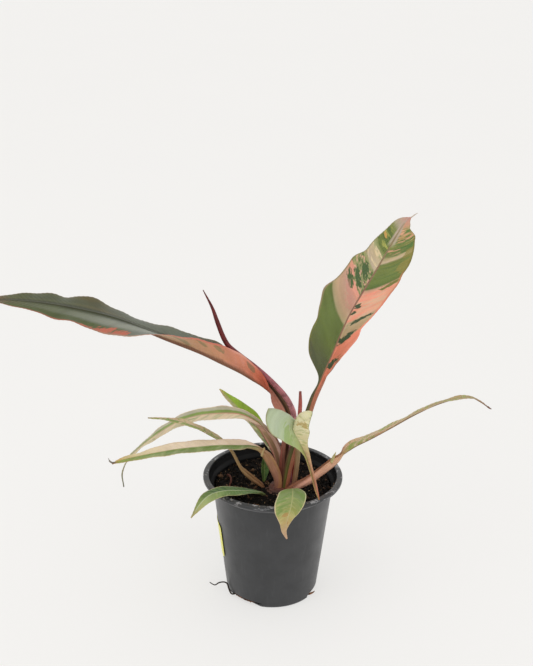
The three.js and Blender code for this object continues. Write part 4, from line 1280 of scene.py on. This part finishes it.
def paint_arching_large():
    upper, under = both_sides("leaf_arching_large", 8)
    upper.runs(
        left=[
            (0, 0x8A5648), (5, 0xC48674), (7.5, 0xBE7A64), (10, 0x6F665A), (11.5, 0x666B5E),
            (12.6, 0x70756A), (13.6, 0x5E6450), (14.6, 0x4A542A), (15.6, 0x4E4E24), (17, 0x7A4F30),
        ],
        right=[
            (0, 0x8A5648), (5, 0x7A5A40), (9, 0x605C48), (11, 0x64695A), (12.6, 0x565C48),
            (13.4, 0x5A522E), (14.2, 0x505634), (15.6, 0x4E5228), (17, 0x7A4F30),
        ],
    )
    across = upper.across
    # Painted sheen: a grey band along the near half where the glossy blade reflects the light.
    upper.band(
        across, 0.22, 0.6, [(11.8, 0x7A7E70), (13, 0x8A8D80), (14.4, 0x666C54), (15.4, 0x525832)], 0.14,
    )
    upper.band(across, 0.62, 0.95, [(12.8, 0x566036), (14.4, 0x465024), (15.8, 0x4E5828)], 0.1, 0.06, 0.85)
    # Painted shade: a dark band along the midrib, where the blade folds into its groove.
    upper.band(
        across, -0.24, 0.14, [(10, 0x3A3E28), (13, 0x34381F), (15.6, 0x3A3C1E), (16.6, 0x5A4A2C)], 0.1,
    )
    upper.band(across, -0.75, -0.4, [(12.2, 0x4A503C), (15.4, 0x3E4628)], 0.12, 0.08, 0.6)
    upper.blots(
        0xB5654F, [(13.3, 0.88, 0.7, 0.24), (12.95, 0.92, 0.6, 0.2), (13.8, 0.97, 0.5, 0.12)], 1.0, 5.0,
    )
    upper.blots(0x4A5628, [(13.75, 0.78, 0.6, 0.1)], 0.7)
    upper.margin(
        [(8.5, 0xD07A66), (11, 0xD8806C), (12.6, 0xA89080), (14, 0xA9604B), (16.5, 0x96563E)], 0.06, side=1,
    )
    upper.margin([(8.5, 0x8A6A58), (12.5, 0x6F6A50), (15, 0x7A5A38), (17, 0x7A4F30)], 0.03, side=-1)
    upper.midrib([(0, 0x5E4030), (4, 0x4E3826), (7.5, 0x4A3424)], 1.1)
    under.runs(
        left=[
            (0, 0x9A5C4E), (5, 0xA8604E), (7, 0xB85A42), (7.7, 0xCC7054), (8.4, 0xCC7C60),
            (9.4, 0xD48C6E), (10.3, 0xCE9874), (11.4, 0xC49A76), (13, 0x9B8A66), (17, 0x8A5A40),
        ]
    )
    under.blots(0xC4604A, [(7.5, 0.82, 0.5, 0.16)], 0.3, strength=0.7)
    under.blots(0x85694A, [(8.65, 0.72, 0.35, 0.3)], 0.3, 3.0, 0.8)
    under.blots(
        0x8A8058, [(10.4, 0.75, 0.3, 0.2), (11.6, 0.5, 0.4, 0.4), (11.1, 0.75, 0.25, 0.2)], 0.5, 5.0, 0.7,
    )
    under.streaks(0xD6907A, 0.3, 8.6, 11, 1, 1.4, 0.5, 0.1, 0.6)
    under.margin([(8, 0xC4705C), (9.5, 0xD89884), (10.6, 0xD87A68), (12.5, 0xD88A76)], 0.12)
    under.midrib([(0, 0x8C5446), (7, 0x84503C), (10, 0x7A5038), (17, 0x7A5038)], 2.0)
    return upper.leafy(0.36, vein_strength=0.05), under.leafy(0.48, vein_strength=0.06)


def paint_upright():
    upper, under = both_sides("leaf_upright", 7)
    upper.runs(
        left=[
            (0, 0x6A4A34), (5.5, 0x5E5230), (6.8, 0x4E5638), (7.6, 0x505630), (8.4, 0x5A6A26),
            (9.45, 0x566622), (9.55, 0xA89A70), (9.9, 0xBE9E7C), (10.5, 0xC49884), (10.72, 0xD08E74),
            (10.85, 0x8E9058), (11.9, 0x989A62), (12.0, 0xBFAC92), (12.45, 0xC4B08A), (12.6, 0xA8A878),
            (12.85, 0x6C7A2E), (13.7, 0x5C7026), (14.1, 0x848A48), (14.5, 0xB4A68C), (16, 0xC98F84),
        ],
        right=[
            (0, 0x9A5C44), (5.5, 0xB07355), (7, 0xD0785C), (7.6, 0xDE8062), (8.6, 0xE8876A),
            (8.75, 0xC0A078), (9.5, 0xB9A47E), (9.7, 0xE8A282), (10.3, 0xE8AC8C), (10.85, 0xE89C80),
            (11.05, 0xD0A084), (11.12, 0x5F7226), (11.8, 0x707E34), (12.3, 0x737C30), (12.38, 0xC9B091),
            (12.62, 0xBCA87C), (12.7, 0x6A7A38), (13.3, 0x7C8438), (13.7, 0xB8945E), (14.2, 0x8F9050),
            (14.6, 0xCF9A7A), (16, 0xC98F84),
        ],
    )
    upper.streaks(0xD4B494, 0.4, 9.6, 10.95, -1, 4.0, 0.9, 0.08, 0.7)
    upper.streaks(0xF0927A, 0.4, 9.6, 10.95, -1, 3.0, 0.7, 0.08, 0.7)
    upper.streaks(0x6C7E34, 0.4, 7.4, 9.5, 1, 0.9, 0.4, 0.3, 0.5)
    upper.streaks(0x4E6622, 0.42, 10.85, 11.95, 1, 3.6, 3.2, 0.03, 0.95)
    upper.streaks(0xD9A890, 0.28, 10.85, 11.9, 1, 3.4, 3.0, 0.03)
    upper.streaks(0xE0CBA0, 0.35, 12.0, 12.8, 1, 5.5, 1.0)
    upper.streaks(0xA8A84E, 0.3, 12.9, 14.2, 1, 4.0, 1.0)
    upper.streaks(0x3F5A1E, 0.35, 12.8, 13.8, 1, 3.0, 0.9, 0.06, 0.8)
    upper.streaks(0x486524, 0.3, 11.1, 12.35, -1, 3.5, 0.5, 0.1, 0.6)
    upper.streaks(0xD8A07E, 0.4, 12.75, 14.6, -1, 5.0, 0.8)
    upper.streaks(0x55752C, 0.4, 12.6, 14.3, -1, 3.4, 0.9)
    upper.blots(0xE09A82, [(11.75, 0.8, 0.34, 0.22), (10.98, 0.26, 0.26, 0.26)], 0.7)
    upper.blots(
        0x3E5A22,
        [(11.85, 0.33, 0.5, 0.2), (11.6, 0.52, 0.3, 0.2), (11.3, 0.62, 0.3, 0.22), (11.3, 0.3, 0.2, 0.15)],
        1.3,
    )
    upper.blots(0xC98A78, [(10.55, 0.2, 0.5, 0.2), (10.9, 0.45, 0.3, 0.2)], 1.2, 5.0, 0.6)
    upper.blots(
        0x384A26,
        [
            (7.9, -0.42, 0.42, 0.42), (9.0, -0.34, 0.36, 0.36), (9.95, -0.55, 0.26, 0.32),
            (10.45, -0.14, 0.26, 0.12), (10.15, -0.1, 0.2, 0.09),
        ],
    )
    upper.blots(0x74742E, [(11.75, -0.76, 0.28, 0.24)])
    upper.blots(0x8C8238, [(12.9, -0.9, 0.6, 0.26), (13.5, -0.92, 0.6, 0.24)], 0.7, 3.0, 0.8)
    upper.blots(0xC49A4E, [(13.8, 0.7, 0.14, 0.24)])
    upper.band(upper.across, -0.14, 0.2, [(13.4, 0xB0A488), (14.4, 0xBCA898), (15.6, 0xC09A8C)], 0.06)
    upper.margin(
        [(6.5, 0x7A7038), (9, 0x7A7A34), (10.6, 0xA08A6A), (12.5, 0x8A8A58), (15.8, 0xA8887A)], 0.04, side=1,
    )
    upper.margin(
        [
            (6.8, 0xB87058), (8, 0x7A5A3C), (8.4, 0xF09078), (11, 0xE88A70), (12.2, 0xC08058),
            (12.6, 0x7A742C), (15.8, 0x8A7A3C),
        ],
        0.06,
        side=-1,
    )
    upper.midrib([(6.4, 0x9A6E50), (11, 0x8A5F4A), (13.5, 0x8A7850), (15, 0xB09A80)], 0.8)
    upper.band(upper.across, -0.05, 0.7, [(0, 0x6A6630), (3, 0x5E5A2C), (7, 0x5A5634)], 0.15)
    under.runs(
        left=[
            (0, 0x6A4A34), (6, 0x6A5438), (7, 0x6F7F4A), (9.4, 0x6F7F4A), (9.6, 0xB0A080),
            (10.8, 0xB89C84), (11, 0x8F9A6C), (12, 0xB0A488), (13, 0x7F9058), (16, 0xB89888),
        ],
        right=[
            (0, 0x9A5C44), (7, 0xC07A60), (8.6, 0xD08A6C), (11, 0xC8A084), (11.2, 0x7F9058), (16, 0xB89878),
        ],
    )
    under.midrib([(0, 0x8C5A44), (7, 0xA07058), (15.8, 0xB09880)], 1.6)
    return upper.leafy(0.4), under.leafy(0.5)


def paint_folded_front():
    upper, under = both_sides("leaf_folded_front", 4.5)
    upper.runs(
        left=[
            (0, 0x8A6048), (3.2, 0xA88A68), (4, 0xDCD6A8), (7, 0xE4DCB4), (9, 0xDCCC9C), (10.5, 0xD0A080),
            (13, 0xB0604A),
        ],
        right=[
            (0, 0x8A6048), (3.2, 0x8A8A5A), (4, 0xB0BC9A), (5.6, 0xBECAAC), (8, 0xACBA80), (10, 0xA8AC64),
            (13, 0x9A7A48),
        ],
    )
    upper.streaks(0xA8AE70, 0.33, 4.4, 9, 1, 4.0, 1.6, 0.08, 0.7)
    upper.streaks(0xE6DEB8, 0.35, 4.4, 9, 1, 6.0, 1.0, 0.08, 0.8)
    upper.blots(0xB49A5A, [(7.6, 0.72, 0.3, 0.2), (7.2, 0.55, 0.25, 0.2)], 1.4, 6.0, 0.8)
    upper.streaks(0x93A87E, 0.4, 4, 8, -1, 1.6, 0.5, 0.2, 0.5)
    upper.streaks(0xC0CCAE, 0.35, 4, 7, -1, 1.4, 0.6, 0.2, 0.5)
    upper.blots(0x8FAA58, [(7.8, -0.55, 0.5, 0.3), (8.4, -0.85, 0.5, 0.2)], 1.2, 3.0, 0.6)
    upper.margin([(4.8, 0x98A070), (8, 0xA8A478), (12.6, 0xA86A50)], 0.03)
    upper.midrib([(4.6, 0x9FAE7C), (8, 0xB4B888), (12.6, 0xA87A5A)], 0.7)
    under.runs(
        left=[
            (0, 0x8A5A48), (3.2, 0x9A6A55), (5, 0xB8B48C), (9, 0xC8B080), (10, 0xD39A84), (12, 0xC07060),
            (13, 0xA05040),
        ],
        right=[(0, 0x8A5A48), (3.2, 0x9A7A55), (5, 0x9CAC80), (9, 0xA0A862), (10, 0xA8A860), (13, 0xA8704E)],
    )
    under.midrib([(0, 0x8A5A48), (5, 0xA09468), (12.6, 0xB08A58)], 1.3)
    return (
        upper.leafy(0.42, 0x7F9468, 0.12, 0.5),
        under.leafy(0.5, 0x7F9468, 0.12, 0.5),
    )


def paint_reaching_right():
    upper, under = both_sides("leaf_reaching_right", 7.5)
    upper.runs(
        left=[
            (0, 0x8A5340), (6.5, 0xB08058), (8, 0xCFA98A), (10, 0xC9B48C), (13, 0xC0B080), (16, 0xA89050),
            (18, 0x7A4A3A),
        ],
        right=[
            (0, 0x8A5340), (6.5, 0xB08058), (8, 0xB09A6A), (10, 0xA3A95A), (12, 0xC0A078), (16, 0x9A8A48),
            (18, 0x7A4A3A),
        ],
    )
    upper.streaks(0x9FA85C, 0.4, 8, 16, 0, 3.0, 0.6)
    upper.margin([(1, 0x8A4A3A), (7, 0x9A5A44), (8.4, 0xD8A088), (12, 0xD0B090), (17.5, 0x8A5A40)], 0.08)
    upper.midrib([(7.6, 0xA07850), (17, 0x8A6A48)], 0.6)
    under.runs(
        left=[
            (0, 0xA8705E), (3, 0xD49C86), (6.6, 0xDCB090), (7.6, 0xCFA98A), (9.4, 0xC9B48C),
            (14, 0xC0AC7C), (18, 0x7A4A3A),
        ],
        right=[
            (0, 0xA8705E), (3, 0xDCA48C), (6.6, 0xE0B490), (7.5, 0xC0A070), (8.4, 0xB4A468),
            (9, 0xA3A95A), (10.2, 0xA8A45C), (11, 0xC99A78), (12, 0xB89A6A), (13.2, 0xA89462),
            (14.2, 0xC0B488), (15.4, 0xB8B47C), (16.2, 0xA07A3A), (18, 0x7A4A3A),
        ],
    )
    under.streaks(0x93A552, 0.42, 8.6, 11.2, -1, 3.0, 0.8, 0.06, 0.9)
    under.streaks(0xDCC4A0, 0.4, 9.5, 15.5, -1, 2.4, 0.7, 0.08, 0.8)
    under.streaks(0x9FAE62, 0.3, 13, 16, -1, 3.4, 0.8)
    under.band(under.across, -0.25, 0.25, [(1, 0xA06854), (7, 0xA87258)], 0.2, 0.0, 0.6)
    under.margin([(8, 0xE0B49A), (10, 0xD8B896), (13, 0xD8C09A), (17, 0xA07A50)], 0.12, side=-1)
    under.margin([(8, 0x8A6038), (12, 0x7A5530), (17, 0x6A4A2C)], 0.14, side=1)
    under.midrib([(7.4, 0x8A5A3C), (10, 0x7A5530), (17, 0x7A5030)], 0.9)
    return upper.leafy(0.44), under.leafy(0.46)


def paint_low_left():
    upper, under = both_sides("leaf_low_left", 5)
    upper.runs(
        left=[
            (0, 0x8A5A40), (4.8, 0xB08A60), (5.6, 0x868F54), (7, 0x728A3A), (10, 0x84965A),
            (13, 0x929E46), (14, 0x9A5030),
        ],
        right=[
            (0, 0x8A5A40), (4.8, 0xC8A084), (5.6, 0xF0D8BE), (10, 0xF2DEC6), (12.4, 0xD8C892),
            (13.2, 0xC9A04A), (14, 0x9A5030),
        ],
    )
    upper.band(
        upper.across, 0.02, 0.42, [(5.4, 0x6A7A40), (7, 0x6F8A3A), (12, 0x7A9648), (13, 0x9AA84E)], 0.08,
        0.06,
    )
    upper.streaks(0xB4B886, 0.3, 6, 12.4, 1, 1.6, 0.5, 0.12, 0.4)
    upper.streaks(0xC8B890, 0.2, 6, 13, -1, 1.6, 0.4, 0.12, 0.4)
    upper.margin([(5.4, 0xD0A088), (9, 0xE6C8AE), (12.4, 0xD0B078), (13.6, 0xB06A40)], 0.07)
    upper.midrib([(5, 0x8A7A48), (9, 0xA8B080), (13.2, 0xB09A50)], 0.5)
    under.runs(
        left=[
            (0, 0x8A5A4A), (2.4, 0xB07C66), (4.6, 0xBC9068), (5.4, 0xB0A070), (9, 0xA8B07C), (14, 0x9A6A40),
        ],
    )
    under.band(under.across, 0.55, 1.2, [(1, 0xB8805A), (4.6, 0xC49A70)], 0.1)
    under.band(under.across, -1.2, -0.5, [(1, 0x7A4A34), (4.6, 0x8A5A3C)], 0.1)
    under.streaks(0x8A9A5A, 0.4, 6, 12, 0, 2.4, 0.6)
    under.midrib([(5, 0x9A6A48), (13, 0x9A7A50)], 0.9)
    return upper.leafy(0.42), under.leafy(0.46)


def paint_arching_left():
    upper, under = both_sides("leaf_arching_left", 4.6)
    upper.runs(
        left=[
            (0, 0x9A5A4C), (4.2, 0xC08A7A), (5, 0xD8B49A), (6.5, 0xE0CBA8), (12, 0xDCC8A4),
            (13.6, 0xC0B488), (14.6, 0x8A7A4A), (15, 0x55583F),
        ],
        right=[
            (0, 0x9A5A4C), (4.2, 0xB8988A), (5, 0xB4AA8C), (8, 0xB9B49A), (12, 0xB8B498),
            (13.6, 0xA8A47C), (15, 0x55583F),
        ],
    )
    upper.band(
        upper.across, -0.5, -0.04, [(5, 0x8A9A50), (7, 0x7D9340), (10, 0x87A04A), (14, 0x8A9450)], 0.07,
        0.08,
    )
    upper.streaks(0x9AA870, 0.35, 6, 14, 1, 1.6, 0.4, 0.08, 0.5)
    upper.blots(0x8FA060, [(9.5, 0.35, 0.8, 0.12), (11.4, 0.6, 0.6, 0.1)], 0.6, 3.0, 0.7)
    upper.margin([(5, 0xE0B8A0), (9, 0xEAD6BC), (13, 0xDCC4A0), (14.6, 0x8A7A58)], 0.08)
    upper.midrib([(3.6, 0xB0554A), (5.6, 0xB0554A), (7, 0xC07A64), (9, 0xC8A888), (14, 0xB0A880)], 0.7)
    under.runs(
        left=[
            (0, 0xB46A60), (2, 0xDC9C8C), (4, 0xE4AC98), (5, 0xCCA68E), (6.5, 0xC8BC98), (13, 0xB8B48C),
            (15, 0x5A5A40),
        ],
        right=[(0, 0xAC6A5C), (4, 0xD09A84), (5.4, 0xB0AC8C), (13, 0xA8A880), (15, 0x5A5A40)],
    )
    under.band(under.across, 0.5, 1.2, [(1, 0xD0A498), (3, 0xE0BAAA), (4.8, 0xDAB49C)], 0.12)
    under.band(under.across, 0.22, 0.42, [(1, 0x7A7048), (3, 0x8A7A50), (4.6, 0x9A8A5A)], 0.06, 0.05, 0.7)
    under.streaks(0x93A060, 0.35, 6, 14, 0, 2.0, 0.5)
    under.midrib([(2, 0xA0564A), (5, 0xA8584A), (7, 0xB88A70), (14, 0xA89878)], 0.9)
    return upper.leafy(0.42), under.leafy(0.46)


def paint_back_green():
    upper, under = both_sides("leaf_back_green", 2)
    upper.runs(
        left=[(0, 0x8A6A48), (2, 0x86965A), (4, 0x9AA672), (6, 0xB8B480), (7.4, 0xA8A860), (8, 0xC0A070)],
        right=[(0, 0x8A6A48), (2, 0x84A02E), (4, 0x92B428), (7, 0x96B82C), (8, 0xB8B04C)],
    )
    upper.streaks(0x6C8A4A, 0.45, 2.4, 7, 1, 2.2, 0.5)
    upper.streaks(0xC9C08F, 0.35, 2.4, 7.2, 1, 2.8, 0.5)
    upper.streaks(0x76981E, 0.3, 2, 7.4, -1, 2.4, 0.4, 0.1, 0.5)
    upper.margin([(1.5, 0xC0A080), (4, 0xDCC0A8), (7.6, 0xD8B094)], 0.16, side=1)
    upper.margin([(1.5, 0x9A9A50), (7.6, 0x9AA048)], 0.04, side=-1)
    upper.midrib([(1, 0x9AA058), (7.6, 0xA8B458)], 0.5)
    under.runs(left=[(0, 0x8A6A48), (2, 0x8A9A58), (6, 0x9FAE62), (8, 0xB8A070)])
    under.streaks(0xC9C08F, 0.35, 2, 7, 0, 2.4, 0.5)
    under.midrib([(1, 0xA89A70), (7.6, 0xB0A870)], 0.8)
    return upper.leafy(0.4), under.leafy(0.46)


def paint_thin_left():
    upper, under = both_sides("leaf_thin_left", 6.5)
    upper.runs(
        left=[
            (0, 0x8A5A40), (3, 0xB08C62), (6, 0xB09A68), (7.4, 0x93A552), (11, 0x7D943F),
            (12.4, 0x9AA050), (13, 0x9A7A48),
        ],
        right=[(0, 0x8A5A40), (3, 0xB8946C), (6, 0xC0A880), (7.4, 0xC4B488), (12, 0xD0B493), (13, 0xA08058)],
    )
    upper.streaks(0xC9B890, 0.3, 7, 12.5, 1, 2.6, 0.8)
    upper.streaks(0x8A9E4C, 0.3, 7, 12.5, -1, 2.6, 0.8)
    upper.margin([(6.8, 0xD0B493), (12.6, 0xC8A880)], 0.14)
    upper.midrib([(6, 0xA89868), (12, 0x7A8A44)], 0.4)
    under.runs(
        left=[(0, 0x8A5A40), (3, 0xB08C62), (6.6, 0xB49A6C), (8, 0xA0A25C), (12, 0x9AA058), (13, 0x9A7A48)],
    )
    under.streaks(0xD0B493, 0.3, 7, 12.5, 0, 2.0, 0.8)
    under.midrib([(6, 0xA08058), (12.6, 0xA08A58)], 0.5)
    return upper.leafy(0.44), under.leafy(0.48)


def paint_small_left():
    upper, under = both_sides("leaf_small_left", 1)
    upper.runs(
        left=[(0, 0x6A6A40), (2, 0x54763A), (4, 0x6C8A48), (6, 0x9FAE6E), (8, 0xA89A60)],
        right=[(0, 0x6A6A40), (2, 0x4A6C30), (5, 0x5D7A3A), (7, 0x86964E), (8, 0x9A8A50)],
    )
    upper.streaks(0xA4B074, 0.25, 3, 7.4, 1, 3.0, 0.8, 0.08, 0.7)
    upper.streaks(0x3F6028, 0.35, 1, 6, -1, 3.0, 0.6)
    upper.margin([(1, 0x8A8A50), (5, 0xC0B888), (7.6, 0xB09868)], 0.07)
    upper.midrib([(0.6, 0x9AA878), (7.4, 0xB9C49A)], 0.45)
    under.runs(left=[(0, 0x6A6A40), (3, 0x7A8C54), (7, 0xA0A868), (8, 0xA89A60)])
    under.midrib([(0.6, 0xA0A878), (7.4, 0xB0B088)], 0.7)
    return upper.leafy(0.42), under.leafy(0.48)


def paint_small_front():
    upper, under = both_sides("leaf_small_front", 2.6)
    upper.runs(
        left=[
            (0, 0x7A8050), (3, 0x86985E), (4.4, 0x8C9C68), (6, 0x9FA25A), (7.4, 0xC0A870), (9, 0xC8A884),
            (10, 0xD0A98C),
        ],
        right=[
            (0, 0x7A8050), (3, 0x86985E), (4.4, 0x8C9C68), (6, 0xA3A562), (7.6, 0xC0A870), (9, 0xC8A884),
            (10, 0xD0A98C),
        ],
    )
    upper.streaks(0x7F9A54, 0.42, 3, 6.4, 0, 4.0, 0.8, 0.06, 0.8)
    upper.streaks(0xCFC48E, 0.3, 4.4, 8, 0, 4.0, 1.4, 0.12, 0.4)
    upper.blots(0xB48A54, [(6.9, -0.2, 0.15, 0.3), (7.8, 0.3, 0.15, 0.25)], 0.6, 4.0, 0.7)
    upper.margin([(3, 0xB8C090), (5, 0xD8D0A4), (9.6, 0xD8B090)], 0.06)
    upper.midrib([(1, 0x90A068), (6, 0xB8B880), (9.6, 0xC8A080)], 0.45)
    under.runs(left=[(0, 0x7A8050), (4, 0x98A878), (7.4, 0xC0B07C), (10, 0xC8A080)])
    under.midrib([(1, 0x98A070), (9.6, 0xC0A078)], 0.7)
    return upper.leafy(0.42, 0x6F8A4A, 0.14), under.leafy(0.48)


def paint_tiny_back():
    upper, under = both_sides("leaf_tiny_back", 0.6)
    upper.runs(left=[(0, 0x7A8048), (1.4, 0x5F8440), (3, 0x6F9448), (4, 0x7A9A48)])
    upper.streaks(0x4E7434, 0.4, 1, 4, 0, 4.0, 1.0)
    upper.midrib([(0.5, 0x8FA860), (3.8, 0x8FA860)], 0.4)
    under.runs(left=[(0, 0x7A8048), (2, 0x6F8A4E), (4, 0x86A058)])
    under.midrib([(0.5, 0x8FA060), (3.8, 0x98A868)], 0.5)
    return upper.leafy(0.42), under.leafy(0.48)


def paint_stem(name, stem, stops, dark):
    """A round stem: colours along it, with darker drifts."""
    paint = LeafPaint(name, stem, NO_BLADE)
    paint.runs(stops, None, 0.3)
    drift = paint.noise(paint.place(), 220.0, 3.0, 0.6)
    paint.lay(paint.step(drift, 0.45, 0.7, 0.0, 0.55), dark)
    return paint.leafy(0.34, vein_strength=0.0)


def dress(piece, slot, node, *materials):
    """Gives a piece its materials, and puts it in place of its CAD node."""
    while len(piece.data.materials) < len(materials):
        piece.data.materials.append(None)
    for index, material in enumerate(materials):
        piece.data.materials[index] = material
    if node:
        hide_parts(node)
    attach(piece, "root")


def build_pot_and_soil():
    dress(make_pot(), "pot_plastic", "pot", paint_pot())
    dress(make_soil(), "soil", "soil", paint_soil("peat", PEAT_TONES, by_piece=False))
    peat, bark, flecks = make_crumbs()
    dress(peat, "soil", None, paint_soil("peat_crumb", PEAT_TONES))
    dress(bark, "soil", None, paint_soil("bark_chip", BARK_TONES))
    dress(flecks, "soil", None, paint_soil("pale_fleck", PALE_TONES))
    dress(make_rim_dirt(), "soil", None, paint_soil("sandy_crumb", SANDY_TONES))
    dress(make_crown(), "stem", "crown", paint_crown())
    dress(make_sticker(), "sticker_film", "sticker", paint_sticker())
    dress(make_notch_roots(), "root", None, paint_bark("notch_root", 0x2A1C14, 0x9A6238, 300.0))
    dress(make_notch_soil(), "soil", None, paint_soil("notch_crumb", PEAT_TONES))


def build_stems():
    spear = [
        (0, 0x9A5660), (4.5, 0xC8888E), (7, 0xB8767C), (9, 0xA05A60), (11.5, 0x863A3C), (13, 0x702A2A),
        (17, 0x6A2826),
    ]
    sheath = [(0, 0xB85A50), (5, 0xC46C60), (6, 0x94504A)]
    spear_paint = paint_stem("spear", STEMS["new_leaf_spear"], spear, 0x4A2426)
    sheath_paint = paint_stem("cataphyll", STEMS["red_cataphyll"], sheath, 0x9A4440)
    paints = {
        "new_leaf_spear": ("new_growth_red", spear_paint),
        "red_cataphyll": ("new_growth_red", sheath_paint),
        "root_wisp": ("root", paint_bark("dark_root", 0x1C1712, 0x3A2E24)),
        "soil_twig": ("root", paint_bark("twig", 0x3E2018, 0x6E4032)),
    }
    for name, stem in STEMS.items():
        slot, material = paints[name]
        dress(tube_mesh(name + "_fine", stem["path"], stem["radius"]), slot, name, material)


def build_teeth():
    for name, tooth in TEETH.items():
        piece = tube_mesh(name, tooth["path"], tooth["radius"], sides=12, spacing=0.4, squash=0.5)
        dress(piece, tooth["slot"], None, paint_bark(name, *tooth["colours"], roughness=0.5))


def build_leaves():
    paints = {
        "leaf_arching_large": ("leaf_olive", paint_arching_large),
        "leaf_upright": ("leaf_marbled_pink", paint_upright),
        "leaf_folded_front": ("leaf_pale", paint_folded_front),
        "leaf_reaching_right": ("leaf_tan", paint_reaching_right),
        "leaf_low_left": ("leaf_cream_green", paint_low_left),
        "leaf_arching_left": ("leaf_cream_green", paint_arching_left),
        "leaf_back_green": ("leaf_green", paint_back_green),
        "leaf_thin_left": ("leaf_green", paint_thin_left),
        "leaf_small_left": ("leaf_green", paint_small_left),
        "leaf_small_front": ("leaf_pale", paint_small_front),
        "leaf_tiny_back": ("leaf_green", paint_tiny_back),
    }
    for name, (slot, paint) in paints.items():
        dress(leaf_mesh(name + "_fine", LEAVES[name]), slot, name, *paint())


make_camera()
build_pot_and_soil()
build_stems()
build_leaves()
build_teeth()
make_floor()
make_light()
